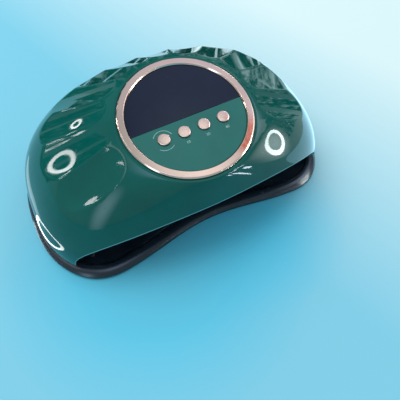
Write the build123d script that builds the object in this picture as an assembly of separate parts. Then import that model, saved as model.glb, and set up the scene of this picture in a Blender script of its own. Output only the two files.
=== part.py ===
from build123d import *
from math import cos, pi, radians, sin, tan
import os

# A table-top LED nail lamp, in millimetres, +Z up, front towards -Y.
# The origin is on the table, under the middle of the lamp.

# Housing: the dome between its rim and the control island
shell_half_width = 130.0
shell_front = 91.5
shell_back = 100.0
shell_centre_y = -10.0
outline_power = 2.69
rim_z = 12.0
wall = 3.0
fullness_side = 0.67
fullness_back = 0.62
fullness_front = 0.12
shoulder_drop = 0.2
outline_points = 36
dome_steps = (1.0, 0.84, 0.66, 0.5, 0.35, 0.22, 0.1, 0.0)

# Scooped facets round both sides and the back of the dome
scoop_radius = 70.0
scoop_depth = 4.0
scoop_height = 0.28
scoop_angles = (9.5, 29.0, 48.0, 66.0, 84.0, 104.0)

# Hand opening
arch_half_width = 114.0
arch_height = 44.5
arch_depth = 60.0
lip_round = 1.0

# Control island: a disc that tilts towards the user
island_y = -40.7
island_z = 94.4
island_tilt = 15.3
deck_radius = 51.0
ring_outer = 48.8
ring_inner = 43.0
ring_rise = 1.9
ring_seat = 0.6
ring_round = 0.4
panel_thickness = 2.0
panel_top = 0.2
ledge_radius = 40.0
divider_y = -1.4
fit_gap = 0.15

# Buttons and the switches under them
button_pitch = 15.4
button_y = -11.4
button_radius = 4.35
button_rise = 1.3
button_crown = 16.0
button_round = 0.3
button_gap = 0.25
button_travel = 0.5
button_flange = 5.6
flange_thickness = 0.8
flange_gap = 0.1
stem_radius = 2.0
plunger_radius = 1.7
plunger_gap = 0.06
switch_size = 6.0
switch_height = 3.6
plunger_length = 3.0
plunger_show = 1.5

# Circuit board and display under the island
board_top = -10.2
board_thickness = 1.6
board_radius = 46.0
board_front = 39.0
board_boss_radius = 3.0
board_screw_circle = 43.3
board_screw_angles = (45.0, 135.0, 225.0, 315.0)
board_head_radius = 2.1
board_head_height = 1.4
board_shank_radius = 1.0
board_shank_top = -5.0
display_size = (46.0, 24.0)
display_y = 14.0
display_gap = 0.4
digit_count = 3
digit_pitch = 13.5
digit_height = 16.0
digit_width = 8.5
segment_width = 1.5
segment_thickness = 0.25

# Tray under the lamp
tray_margin = 5.0
tray_half_width = shell_half_width + tray_margin
tray_back = shell_back + tray_margin
tray_corner_y = -16.0
lobe_x = 87.0
lobe_peak_y = -85.4
tray_middle_y = -74.3
foot_height = 1.2
tray_top = 7.0
tray_floor = 3.2
tray_crown = ((0.0, 3.6), (2.0, 5.4), (4.8, 6.6), (8.2, 7.0))
dish_steps = ((8.6, 7.2), (10.4, 5.4), (13.4, 4.0), (18.0, 3.2))
foot_radius = 7.0
foot_thickness = 2.0
foot_places = ((88.0, -66.0), (88.0, 62.0))

# Frame that closes the housing from below
frame_inset = 0.8
frame_front_y = -60.0
spigot_gap = 0.3
spigot_inset = wall + spigot_gap
spigot_thickness = 2.0
spigot_height = 4.0
magnet_radius = 4.0
magnet_thickness = 3.0
magnet_cover = 0.1
frame_edge = 18.0
leg_x = shell_half_width - frame_edge
magnet_places = ((leg_x, -8.0), (26.0, 75.0))
frame_screw_places = ((leg_x, -36.0), (leg_x, 25.0), (56.0, 72.0))
boss_radius = 4.2
frame_head_radius = 2.9
frame_head_height = 2.0
frame_head_pocket = 2.6
frame_shank_radius = 1.4
frame_shank_top = 26.0
pilot_gap = 0.06

# Silvered tunnel that the hand goes into
liner_wall = 1.2
liner_half_width = 96.0
liner_front_y = -62.0
liner_back_y = 56.0
liner_corner = 30.0
liner_top_z = 62.0
liner_top_half_width = 66.0
liner_top_back_y = 40.0
liner_top_corner = 24.0
liner_flange = 6.0
screen_top_z = 67.0
screen_gap = 0.4

# Lamp boards behind the tunnel, and the beads that shine through it
led_board_thickness = 1.2
bead_radius = 2.4
bead_hole = 2.7
bead_reach = 1.4
top_board_size = (112.0, 78.0)
top_board_y = -8.0
top_bead_grid = (5, 3)
top_bead_pitch = (23.0, 26.0)
side_board_size = (66.0, 34.0)
side_board_y = -22.0
side_bead_grid = (4, 2)
side_bead_pitch = (18.0, 16.0)
rear_board_size = (90.0, 24.0)
rear_bead_grid = (5, 1)
rear_bead_pitch = (18.0, 16.0)
sensor_x = 20.0
sensor_y = -53.0
sensor_radius = 2.5
sensor_reach = 2.0

# Inlet for the power lead, at the back
socket_z = 27.0
socket_floor_y = 84.6
socket_flange = 7.0
socket_flange_thickness = 1.8
socket_body_radius = 5.0
socket_length = 15.0
socket_bore = 3.1
socket_bore_depth = 11.0
socket_pin_radius = 1.0
socket_pin_length = 9.5
socket_pin_root = 1.6
socket_root_depth = 1.5
socket_pad_radius = 10.0
socket_pad_y = 80.8
nut_across = 14.0
nut_thickness = 2.5
vent_count = 6
vent_pitch = 6.0
vent_start_x = 24.0
vent_width = 2.0
vent_height = 14.0
vent_z = 27.0
vent_y = 70.0
lead_radius = 2.0
lead_route = ((62.0, 27.0), (59.0, 56.0), (43.0, 73.0))
lead_end_y = 36.0
lead_drop = 12.0

island = Plane(
    origin=(0, island_y, island_z),
    x_dir=(1, 0, 0),
    z_dir=(0, -sin(radians(island_tilt)), cos(radians(island_tilt))),
)
panel_bottom = panel_top - panel_thickness
button_xs = [(k - 1.5) * button_pitch for k in range(4)]
flange_top = panel_bottom - flange_gap
plunger_top = board_top + switch_height + plunger_show
tray_magnet_low = tray_top - magnet_cover - magnet_thickness
frame_magnet_low = tray_top + magnet_cover
socket_pin_low = socket_floor_y + socket_flange_thickness - socket_bore_depth


def write(name, *solids):
    """Write one piece, or one group of like pieces, as its own file."""
    shape = solids[0] if len(solids) == 1 else Compound(children=list(solids))
    export_step(shape, "parts/" + name + ".step")


def on_island(shape):
    """Put a shape drawn flat round the origin on the tilted island."""
    return island * shape


def disc(radius, low, high):
    """A round plate between two heights."""
    return Pos(0, 0, low) * Cylinder(radius, high - low, align=(Align.CENTER, Align.CENTER, Align.MIN))


def mirrored(places):
    """The same places on both sides of the lamp's middle plane."""
    return [(side * x, y) for x, y in places for side in (1, -1)]


# Dome

def rim_point(angle, inset):
    """A point of the housing's rim outline, at an angle about its centre."""
    depth = shell_back if sin(angle) > 0 else shell_front
    across = abs(cos(angle) / (shell_half_width - inset)) ** outline_power
    along = abs(sin(angle) / (depth - inset)) ** outline_power
    reach = (across + along) ** (-1 / outline_power)
    return Vector(reach * cos(angle), shell_centre_y + reach * sin(angle), rim_z)


def dome_point(angle, height, inset=0.0):
    """A point of the dome: height 0 is the island's edge and 1 is the rim."""
    foot = rim_point(angle, inset)
    radius = deck_radius - inset / 2
    top = island.from_local_coords(Vector(radius * cos(angle), radius * sin(angle), -inset))
    knee = Vector(foot.X, foot.Y, top.Z - shoulder_drop * (top.Z - rim_z))
    end = fullness_back if sin(angle) > 0 else fullness_front
    weight = fullness_side + (end - fullness_side) * sin(angle) ** 2
    low, mid, high = height**2, 2 * weight * height * (1 - height), (1 - height) ** 2
    return (top * high + knee * mid + foot * low) * (1 / (low + mid + high))


def dome(inset=0.0):
    """The closed dome, or the same dome drawn in by a wall."""
    wires = []
    for height in dome_steps:
        angles = [pi / 2 + 2 * pi * k / outline_points for k in range(outline_points)]
        points = [dome_point(angle, height, inset) for angle in angles]
        wires.append(Wire([Edge.make_spline(points, periodic=True)]))
    return Solid.make_loft(wires)


def scoop(angle, inset=0.0):
    """A round cutter that lies along the dome and scoops one facet out of it."""
    step = 0.02
    middle = dome_point(angle, scoop_height)
    up = (dome_point(angle, scoop_height - step) - dome_point(angle, scoop_height + step)).normalized()
    side = (dome_point(angle + step, scoop_height) - dome_point(angle - step, scoop_height)).normalized()
    outward = side.cross(up).normalized()
    if outward.Z < 0:
        outward = outward * -1
    axis = middle + outward * (scoop_radius - scoop_depth)
    return Plane(origin=axis, x_dir=outward, z_dir=up) * Cylinder(scoop_radius + inset, 2 * scoop_radius)


def scooped_dome(inset=0.0):
    """The dome with its facets, drawn in by a wall."""
    body = dome(inset)
    for offset in scoop_angles:
        for side in (1, -1):
            body = body - scoop(radians(90 + side * offset), inset)
    return body


def rim_face(inset, z):
    """The area inside the housing's rim, at one height."""
    points = [rim_point(2 * pi * k / outline_points, inset) for k in range(outline_points)]
    return Pos(0, 0, z - rim_z) * make_face(Edge.make_spline(points, periodic=True))


def island_seat():
    """The stepped hole in the deck for the ring, the window and the panel."""
    seat = disc(ring_outer + 2 * fit_gap, -ring_seat, 10)
    seat += disc(ring_inner + fit_gap, panel_bottom, 10)
    seat += disc(ledge_radius, -2 * wall, 10)
    return on_island(seat)


def arch_cutter():
    """The arched hand opening, from in front of the lamp to just behind its front wall."""
    front = shell_centre_y - shell_front - 20
    arch = extrude(Ellipse(arch_half_width, arch_height), arch_depth)
    return Plane(origin=(0, front, rim_z), x_dir=(-1, 0, 0), z_dir=(0, 1, 0)) * arch


def along_socket(radius, low_y, high_y):
    """A round bar on the inlet's axis, between two depths."""
    bar = Cylinder(radius, high_y - low_y, align=(Align.CENTER, Align.CENTER, Align.MIN))
    return Plane(origin=(0, low_y, socket_z), x_dir=(1, 0, 0), z_dir=(0, 1, 0)) * bar


def vent_slots():
    """Upright slots either side of the inlet."""
    slot = extrude(SlotOverall(vent_height, vent_width, rotation=90), 2 * vent_height)
    xs = [side * (vent_start_x + k * vent_pitch) for side in (1, -1) for k in range(vent_count)]
    return [Plane(origin=(x, vent_y, vent_z), x_dir=(-1, 0, 0), z_dir=(0, 1, 0)) * slot for x in xs]


def board_screw_spots():
    """Where the board's screws stand on the island."""
    angles = [radians(angle) for angle in board_screw_angles]
    return [Pos(board_screw_circle * cos(a), board_screw_circle * sin(a), 0) for a in angles]


def make_top_shell():
    """The emerald housing: facets inside and out, bosses, island seat, arch and vents."""
    body = scooped_dome() - scooped_dome(wall)
    bosses = [Pos(x, y, 0) * disc(boss_radius, rim_z, island_z) for x, y in mirrored(frame_screw_places)]
    bosses += [on_island(spot * disc(board_boss_radius, board_top, -wall / 2)) for spot in board_screw_spots()]
    bosses.append(along_socket(socket_pad_radius, socket_pad_y, tray_back))
    inside = dome(wall / 2)
    for boss in bosses:
        body += boss & inside
    body -= island_seat()
    body -= arch_cutter()
    for x, y in mirrored(frame_screw_places):
        body -= Pos(x, y, 0) * disc(frame_shank_radius + pilot_gap, rim_z - 1, frame_shank_top + 1)
    for spot in board_screw_spots():
        body -= on_island(spot * disc(board_shank_radius + pilot_gap, board_top - 1, board_shank_top + 1))
    body -= along_socket(socket_flange + fit_gap, socket_floor_y, tray_back)
    body -= along_socket(socket_body_radius + fit_gap, socket_pad_y - 1, tray_back)
    for slot in vent_slots():
        body -= slot
    front = [edge for edge in body.edges() if edge.bounding_box().max.Y < frame_front_y]
    lip = [edge for edge in front if edge.length > arch_half_width]
    return fillet(lip, lip_round)


# Control island

def revolved(*points):
    """A turned piece from its half profile of (radius, height) points."""
    return revolve(Plane.XZ * make_face(Polyline(*points, close=True)), Axis.Z)


def make_bezel_ring():
    """The chromed ring: a flat crown between an inner and an outer bevel."""
    ring = revolved(
        (ring_inner, -ring_seat),
        (ring_inner, panel_top + 0.3),
        (ring_inner + 1.2, ring_rise),
        (ring_outer - 1.8, ring_rise),
        (ring_outer, ring_rise - 1.6),
        (ring_outer, -ring_seat),
    )
    crown = [edge for edge in ring.edges() if edge.bounding_box().min.Z > panel_top + 0.1]
    return on_island(fillet(crown, ring_round))


def half_disc(front):
    """One half of the disc inside the ring, in front of the divider or behind it."""
    side = -1 if front else 1
    radius = ring_inner - fit_gap
    half = Pos(0, divider_y + side * (radius + fit_gap / 2), 0) * Box(4 * radius, 2 * radius, 4 * radius)
    return disc(radius, panel_bottom, panel_top) & half


def make_control_panel():
    """The green half, with a round hole for each button."""
    panel = half_disc(True)
    for x in button_xs:
        panel -= Pos(x, button_y, 0) * disc(button_radius + button_gap, panel_bottom - 1, panel_top + 1)
    return on_island(panel)


def make_button_cap(x):
    """A turned cap: domed top, a flange that stops it, and a stem down to the switch."""
    rise = panel_top + button_rise
    low = flange_top - flange_thickness
    cap = disc(button_radius, low, rise) & Pos(0, 0, rise - button_crown) * Sphere(button_crown)
    rims = ShapeList([edge for edge in cap.edges() if edge.is_closed])
    cap = fillet(rims.sort_by(Axis.Z)[-1], button_round)
    cap += disc(button_flange, low, flange_top)
    cap += disc(stem_radius, plunger_top, low)
    return on_island(Pos(x, button_y, 0) * cap)


def make_switch_plunger(x):
    """The switch's plunger, which slides in its housing."""
    return on_island(Pos(x, button_y, 0) * disc(plunger_radius, plunger_top - plunger_length, plunger_top))


def make_tact_switch(x):
    """A square switch housing with the bore that its plunger runs in."""
    middle = board_top + switch_height / 2
    body = Pos(0, 0, middle) * Box(switch_size, switch_size, switch_height)
    bore_floor = plunger_top - plunger_length - button_travel - 0.2
    body -= disc(plunger_radius + plunger_gap, bore_floor, plunger_top)
    return on_island(Pos(x, button_y, 0) * body)


def make_control_board():
    """The round board under the island, cut straight in front and drilled for its screws."""
    board = disc(board_radius, board_top - board_thickness, board_top)
    keep = Pos(0, 2 * board_radius - board_front, 0) * Box(4 * board_radius, 4 * board_radius, 100)
    board = board & keep
    for spot in board_screw_spots():
        board -= spot * disc(board_shank_radius + fit_gap, board_top - 5, board_top + 1)
    return on_island(board)


def screw(head_radius, head_height, shank_radius, seat, tip):
    """A round-headed screw whose head hangs below its seat."""
    return disc(head_radius, seat - head_height, seat) + disc(shank_radius, seat - 0.5, tip)


def make_board_screws():
    """The screws that hold the board up to the shell's bosses."""
    low = board_top - board_thickness
    one = screw(board_head_radius, board_head_height, board_shank_radius, low, board_shank_top)
    return [on_island(spot * one) for spot in board_screw_spots()]


def make_display_module():
    """The display's body, standing on the board under the window."""
    high = panel_bottom - display_gap
    block = Box(display_size[0], display_size[1], high - board_top)
    return on_island(Pos(0, display_y, (high + board_top) / 2) * block)


def segment(x, y, length, upright):
    """One bar of a digit, with pointed ends."""
    half = length / 2
    tip = segment_width / 2
    points = ((-half, 0), (-half + tip, tip), (half - tip, tip), (half, 0), (half - tip, -tip), (-half + tip, -tip))
    bar = extrude(make_face(Polyline(*points, close=True)), segment_thickness)
    low = panel_bottom - display_gap
    return Pos(x, y, low) * (Rot(0, 0, 90 if upright else 0) * bar)


def make_display_digits():
    """Three seven-bar digits on the display's face."""
    bars = []
    reach = digit_height / 4
    side = digit_width / 2
    gap = 0.3
    for k in range(digit_count):
        x = (k - (digit_count - 1) / 2) * digit_pitch
        for level in (-1, 0, 1):
            bars.append(segment(x, display_y + 2 * reach * level, digit_width - 2 * gap, False))
        for right in (-1, 1):
            for level in (-1, 1):
                bars.append(segment(x + right * side, display_y + reach * level, 2 * reach - 2 * gap, True))
    return [on_island(bar) for bar in bars]


# Tray

def tray_points(inset):
    """The tray's outline: lobed front, elliptical corners and the housing's curve behind."""
    points = []
    for k in range(-6, 7):
        x = lobe_x * k / 6
        reach = sin(pi * x / (2 * lobe_x)) ** 2
        points.append((x, tray_middle_y + (lobe_peak_y - tray_middle_y) * reach + inset))
    wide = tray_half_width - lobe_x - inset
    deep = tray_corner_y - lobe_peak_y - inset
    corner = [(wide * cos(radians(a)), tray_corner_y - deep * sin(radians(a))) for a in (68, 46, 24)]
    points += [(lobe_x + x, y) for x, y in corner]
    for k in range(17):
        angle = pi * k / 16
        across = abs(cos(angle) / (tray_half_width - inset)) ** outline_power
        along = abs(sin(angle) / (tray_back - inset)) ** outline_power
        reach = (across + along) ** (-1 / outline_power)
        points.append((reach * cos(angle), shell_centre_y + reach * sin(angle)))
    points += [(-lobe_x - x, y) for x, y in reversed(corner)]
    return points


def tray_wire(inset, z):
    """The tray's outline drawn in by an inset, at one height."""
    points = [Vector(x, y, z) for x, y in tray_points(inset)]
    return Wire([Edge.make_spline(points, periodic=True)])


def make_base_tray():
    """The tray: a crowned rim round a dish, and the raised U that carries the lamp head."""
    edge_z = tray_crown[0][1]
    body = extrude(make_face(tray_wire(0, foot_height)), edge_z - foot_height)
    body += Solid.make_loft([tray_wire(inset, z) for inset, z in tray_crown])
    dish = Solid.make_loft([tray_wire(inset, z) for inset, z in reversed(dish_steps)])
    body -= dish - frame_band(-wall, 0, tray_top)
    for x, y in mirrored(magnet_places):
        body -= Pos(x, y, 0) * disc(magnet_radius + fit_gap, tray_magnet_low, tray_top + 1)
    for x, y in mirrored(foot_places):
        body -= Pos(x, y, 0) * disc(foot_radius + fit_gap, 0, foot_thickness)
    return body


def make_rubber_feet():
    """Four feet, let into the tray."""
    return [Pos(x, y, 0) * disc(foot_radius, 0, foot_thickness) for x, y in mirrored(foot_places)]


def make_magnets(low):
    """Round magnets that all start at one height."""
    one = disc(magnet_radius, low, low + magnet_thickness)
    return [Pos(x, y, 0) * one for x, y in mirrored(magnet_places)]


# Frame under the housing

def band(inset, low, high):
    """The solid inside the housing's rim, between two heights."""
    return extrude(rim_face(inset, low), high - low)


def behind(front_y):
    """Everything behind a line across the lamp."""
    return Pos(0, front_y + 200, 0) * Box(400, 400, 400)


def frame_band(inset, low, high):
    """The U between the housing's rim and the tunnel."""
    hole = extrude(Pos(0, 0, low) * tunnel_plan(0, 0), high - low)
    return (band(inset, low, high) - hole) & behind(frame_front_y)


def make_bottom_frame():
    """The black U with its locating rib, magnet pockets and screw pockets."""
    frame = frame_band(frame_inset, tray_top, rim_z)
    rib = band(spigot_inset, rim_z, rim_z + spigot_height)
    rib -= band(spigot_inset + spigot_thickness, rim_z, rim_z + spigot_height)
    frame += rib & behind(frame_front_y)
    for x, y in mirrored(magnet_places):
        frame -= Pos(x, y, 0) * disc(magnet_radius + fit_gap, tray_top - 1, frame_magnet_low + magnet_thickness)
    for x, y in mirrored(frame_screw_places):
        frame -= Pos(x, y, 0) * disc(frame_head_radius + 0.3, tray_top - 1, tray_top + frame_head_pocket)
        frame -= Pos(x, y, 0) * disc(frame_shank_radius + fit_gap, tray_top - 1, rim_z + 1)
    return frame


def make_frame_screws():
    """The screws that hold the frame to the shell."""
    seat = tray_top + frame_head_pocket
    one = screw(frame_head_radius, frame_head_height, frame_shank_radius, seat, frame_shank_top)
    return [Pos(x, y, 0) * one for x, y in mirrored(frame_screw_places)]


# Tunnel and lamp boards

def tunnel_plan(level, grow):
    """The tunnel's plan at its foot (level 0) or roof (level 1), past its open front."""
    half_width = liner_half_width + level * (liner_top_half_width - liner_half_width) + grow
    back = liner_back_y + level * (liner_top_back_y - liner_back_y) + grow
    corner = liner_corner + level * (liner_top_corner - liner_corner) + grow
    front = liner_front_y - 2 * liner_wall
    corners = ((-half_width, front), (half_width, front), (half_width, back), (-half_width, back))
    plan = make_face(Polyline(*corners, close=True))
    return fillet([v for v in plan.vertices() if v.Y > 0], corner)


def tunnel(grow):
    """The space inside the tunnel, or the same space grown by its wall."""
    foot = (Pos(0, 0, rim_z) * tunnel_plan(0, grow)).face().outer_wire()
    roof = (Pos(0, 0, liner_top_z + grow) * tunnel_plan(1, grow)).face().outer_wire()
    return Solid.make_loft([foot, roof], ruled=True)


def make_reflector_liner():
    """The silvered tunnel, its flange, and the screen that meets the shell in front."""
    body = tunnel(liner_wall)
    flange = extrude(Pos(0, 0, rim_z) * tunnel_plan(0, liner_flange), liner_wall)
    body = (body + flange) & behind(liner_front_y)
    height = screen_top_z - rim_z
    slab = Pos(0, liner_front_y - liner_wall / 2, rim_z + height / 2) * Box(400, liner_wall, height)
    body += dome(wall + screen_gap) & slab
    body -= tunnel(0)
    for place, spots in bead_layouts():
        for x, y in spots:
            body -= place * Pos(x, y, 0) * disc(bead_hole, -3 * liner_wall, 1)
    for x in (-sensor_x, sensor_x):
        body -= Pos(x, sensor_y, 0) * disc(sensor_radius + fit_gap, liner_top_z - 1, liner_top_z + 3)
    return body


def wall_place(foot, roof, centre, x_dir):
    """A plane on the tunnel's outer wall, half way up, facing outwards."""
    upward = (roof - foot).normalized()
    return Plane(origin=centre, x_dir=x_dir, z_dir=x_dir.cross(upward))


def board_places():
    """The planes that the roof, left, right and rear lamp boards lie on."""
    low_x = liner_half_width + liner_wall
    high_x = liner_top_half_width + liner_wall
    low_y = liner_back_y + liner_wall
    high_y = liner_top_back_y + liner_wall
    high_z = liner_top_z + liner_wall
    middle_z = (rim_z + high_z) / 2
    places = {"top": Plane(origin=(0, top_board_y, high_z))}
    for name, side in (("left", -1), ("right", 1)):
        foot = Vector(side * low_x, side_board_y, rim_z)
        roof = Vector(side * high_x, side_board_y, high_z)
        centre = Vector(side * (low_x + high_x) / 2, side_board_y, middle_z)
        places[name] = wall_place(foot, roof, centre, Vector(0, side, 0))
    centre = Vector(0, (low_y + high_y) / 2, middle_z)
    places["rear"] = wall_place(Vector(0, low_y, rim_z), Vector(0, high_y, high_z), centre, Vector(-1, 0, 0))
    return places


board_sizes = {"top": top_board_size, "left": side_board_size, "right": side_board_size, "rear": rear_board_size}
bead_grids = {"top": top_bead_grid, "left": side_bead_grid, "right": side_bead_grid, "rear": rear_bead_grid}
bead_pitches = {"top": top_bead_pitch, "left": side_bead_pitch, "right": side_bead_pitch, "rear": rear_bead_pitch}


def bead_spots(name):
    """The beads' places on one board."""
    columns, rows = bead_grids[name]
    step_x, step_y = bead_pitches[name]
    xs = [(k - (columns - 1) / 2) * step_x for k in range(columns)]
    ys = [(k - (rows - 1) / 2) * step_y for k in range(rows)]
    return [(x, y) for x in xs for y in ys]


def bead_layouts():
    """Each board's plane with the places of its beads."""
    return [(place, bead_spots(name)) for name, place in board_places().items()]


def make_led_board(name):
    """A lamp board that lies on the tunnel's outside."""
    width, depth = board_sizes[name]
    return board_places()[name] * Pos(0, 0, led_board_thickness / 2) * Box(width, depth, led_board_thickness)


def make_led_beads(name):
    """Round-nosed beads that shine through the tunnel's holes."""
    bead = disc(bead_radius, -liner_wall - bead_reach, 0)
    bead = fillet(bead.edges().sort_by(Axis.Z)[0], 0.9 * bead_radius)
    place = board_places()[name]
    return [place * Pos(x, y, 0) * bead for x, y in bead_spots(name)]


def make_motion_sensors():
    """Two infrared eyes that look down from the tunnel's roof."""
    low = liner_top_z - sensor_reach
    seat = liner_top_z + liner_wall
    eye = disc(sensor_radius, low, seat + 1) + disc(sensor_radius + 1, seat, seat + 1)
    return [Pos(x, sensor_y, 0) * eye for x in (-sensor_x, sensor_x)]


# Inlet and its lead

def make_dc_socket():
    """The inlet: a flange, a barrel and the bore that a round plug goes into."""
    mouth = socket_floor_y + socket_flange_thickness
    body = along_socket(socket_flange, socket_floor_y, mouth)
    body += along_socket(socket_body_radius, socket_floor_y - socket_length, socket_floor_y + 0.5)
    body -= along_socket(socket_bore, mouth - socket_bore_depth, mouth + 1)
    body -= along_socket(socket_pin_root, socket_pin_low - socket_root_depth, socket_pin_low)
    return body


def make_dc_socket_pin():
    """The pin in the middle of the inlet, with its thicker root."""
    pin = along_socket(socket_pin_radius, socket_pin_low, socket_pin_low + socket_pin_length)
    return pin + along_socket(socket_pin_root, socket_pin_low - socket_root_depth, socket_pin_low)


def make_dc_socket_nut():
    """The six-sided nut that holds the inlet against the shell."""
    nut = extrude(RegularPolygon(nut_across / 2, 6, major_radius=False), nut_thickness)
    low = socket_pad_y - nut_thickness
    nut = Plane(origin=(0, low, socket_z), x_dir=(1, 0, 0), z_dir=(0, 1, 0)) * nut
    return nut - along_socket(socket_body_radius + pilot_gap, low - 1, socket_pad_y + 1)


def make_power_lead():
    """The lead from the inlet, up behind the tunnel and over its roof, to the board."""
    end = island.from_local_coords(Vector(0, lead_end_y, board_top - board_thickness))
    below = island.from_local_coords(Vector(0, lead_end_y, board_top - board_thickness - lead_drop))
    start = Vector(0, socket_floor_y - socket_length, socket_z)
    points = [start, *[Vector(0, y, z) for y, z in lead_route], below, end]
    radii = []
    for before, corner, after in zip(points, points[1:], points[2:]):
        turn = radians((corner - before).get_angle(after - corner))
        radii.append(0.45 * min((corner - before).length, (after - corner).length) / tan(turn / 2))
    path = FilletPolyline(*points, radius=radii)
    section = Plane(origin=start, z_dir=(0, -1, 0)) * Circle(lead_radius)
    return sweep(section, path)


def main():
    os.makedirs("parts", exist_ok=True)
    write("base_tray", make_base_tray())
    write("rubber_feet", *make_rubber_feet())
    write("tray_magnets", *make_magnets(tray_magnet_low))
    write("bottom_frame", make_bottom_frame())
    write("frame_magnets", *make_magnets(frame_magnet_low))
    write("frame_screws", *make_frame_screws())
    write("top_shell", make_top_shell())
    write("bezel_ring", make_bezel_ring())
    write("display_window", on_island(half_disc(False)))
    write("control_panel", make_control_panel())
    for k, x in enumerate(button_xs, 1):
        write(f"button_cap_{k}", make_button_cap(x))
        write(f"switch_plunger_{k}", make_switch_plunger(x))
    write("tact_switches", *[make_tact_switch(x) for x in button_xs])
    write("control_board", make_control_board())
    write("board_screws", *make_board_screws())
    write("display_module", make_display_module())
    write("display_digits", *make_display_digits())
    write("reflector_liner", make_reflector_liner())
    for name in board_places():
        write(f"led_board_{name}", make_led_board(name))
        write(f"led_beads_{name}", *make_led_beads(name))
    write("motion_sensors", *make_motion_sensors())
    write("dc_socket", make_dc_socket())
    write("dc_socket_pin", make_dc_socket_pin())
    write("dc_socket_nut", make_dc_socket_nut())
    write("power_lead", make_power_lead())


main()
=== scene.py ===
from functools import cache
from math import cos, pi, radians, sin

import bmesh
import bpy
import numpy as np
from bpy.props import FloatProperty, FloatVectorProperty, IntProperty, PointerProperty
from bpy.types import Operator, Panel, PropertyGroup
from mathutils import Matrix, Vector
from mathutils.geometry import tessellate_polygon


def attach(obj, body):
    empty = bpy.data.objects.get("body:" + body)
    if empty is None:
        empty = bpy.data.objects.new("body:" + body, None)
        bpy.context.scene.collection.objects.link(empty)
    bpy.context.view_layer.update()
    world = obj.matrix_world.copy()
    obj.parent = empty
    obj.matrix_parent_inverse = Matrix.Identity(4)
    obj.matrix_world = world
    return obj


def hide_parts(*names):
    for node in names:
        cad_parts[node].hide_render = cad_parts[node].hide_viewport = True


bl_info = {
    "name": "Nail lamp",
    "version": (1, 0, 0),
    "blender": (4, 5, 0),
    "location": "View3D > Sidebar > Nail lamp",
    "description": "Builds a table-top nail lamp round its CAD frame",
    "category": "Add Mesh",
}

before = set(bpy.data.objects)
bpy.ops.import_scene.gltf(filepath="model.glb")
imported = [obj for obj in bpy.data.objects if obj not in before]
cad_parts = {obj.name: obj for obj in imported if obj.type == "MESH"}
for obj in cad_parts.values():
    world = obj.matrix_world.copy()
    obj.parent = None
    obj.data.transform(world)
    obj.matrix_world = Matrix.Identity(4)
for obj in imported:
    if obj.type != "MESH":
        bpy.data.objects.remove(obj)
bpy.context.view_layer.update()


# Sizes and colours

def length(name, description, default):
    """A size in metres."""
    return FloatProperty(name=name, description=description, default=default, unit="LENGTH", precision=5)


def ratio(name, description, default):
    """A plain number."""
    return FloatProperty(name=name, description=description, default=default, precision=4)


def angle(name, description, default):
    """An angle, given here in degrees."""
    return FloatProperty(name=name, description=description, default=radians(default), unit="ROTATION")


def count(name, description, default):
    """A whole number."""
    return IntProperty(name=name, description=description, default=default, min=1)


def colour(name, description, default):
    """A linear colour."""
    return FloatVectorProperty(
        name=name, description=description, default=default, subtype="COLOR", size=3, min=0, max=1
    )


class HousingSizes(PropertyGroup):
    """The dome, its facets and its hand opening."""

    half_width: length("Half width", "Half the width of the rim", 0.130)
    front: length("Front", "Depth of the rim in front of its centre", 0.0915)
    back: length("Back", "Depth of the rim behind its centre", 0.100)
    centre_y: length("Centre", "Place of the rim's centre along Y", -0.010)
    squareness: ratio("Squareness", "Power of the rim's rounded outline", 2.69)
    rim_z: length("Rim height", "Height of the rim above the table", 0.012)
    wall: length("Wall", "Thickness of the wall", 0.003)
    side_fullness: ratio("Side fullness", "How round the sides are", 0.67)
    back_fullness: ratio("Back fullness", "How round the back is", 0.62)
    front_fullness: ratio("Front fullness", "How round the front is", 0.12)
    shoulder: ratio("Shoulder drop", "How far the shoulder stays under the island", 0.2)
    deck_radius: length("Deck radius", "Radius of the dome's top edge", 0.051)
    facet_radius: length("Facet radius", "Radius of each scooped facet", 0.070)
    facet_depth: length("Facet depth", "Depth of each scooped facet", 0.004)
    facet_place: ratio("Facet place", "Where the facets' middles are, from top to rim", 0.28)
    facet_edge: length("Facet edge", "Softness of the ridges between facets", 0.00022)
    arch_half_width: length("Opening half width", "Half the width of the hand opening", 0.114)
    arch_height: length("Opening height", "Height of the hand opening", 0.0445)
    lip_round: length("Lip rounding", "Rounding of the opening's lip", 0.0011)
    rim_round: length("Rim rounding", "Rounding of the rim beside the opening", 0.0004)
    edge_round: length("Deck edge", "Rounding of the deck's edge", 0.0006)
    edge_share: ratio("Deck edge share", "How far down the dome that rounding goes", 0.006)


class IslandSizes(PropertyGroup):
    """The tilted control island and what lies in it."""

    y: length("Place", "Centre of the island along Y", -0.0407)
    z: length("Height", "Centre of the island above the table", 0.0944)
    tilt: angle("Tilt", "Tilt towards the user", 15.3)
    ring_outer: length("Ring outside", "Outer radius of the bezel ring", 0.0488)
    ring_inner: length("Ring inside", "Inner radius of the bezel ring", 0.043)
    ring_rise: length("Ring rise", "How far the ring stands above the deck", 0.00164)
    ring_seat: length("Ring seat", "How deep the ring sits in the deck", 0.0006)
    panel_top: length("Panel top", "Height of the window and the panel over the deck", 0.0002)
    panel_thickness: length("Panel thickness", "Thickness of the window and the panel", 0.002)
    divider_y: length("Divider", "Line between the window and the panel", -0.0014)
    fit_gap: length("Fit gap", "Gap round the window and the panel", 0.00015)
    seam: length("Seam", "Dark gap round the outside of the ring", 0.0005)
    seam_edge: length("Seam edge", "Bevel of the deck at that gap", 0.0003)
    ring_bevel: length("Ring bevel", "Bevel of the ring's outer edge", 0.0008)
    ring_slope: length("Ring slope", "Width of the slope at the ring's inner edge", 0.0007)
    ring_reveal: length("Ring reveal", "How far the ring's upright inner wall stands above the panel", 0.0003)
    opening: length("Opening", "Radius of the hole under the window and the panel", 0.040)


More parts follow.
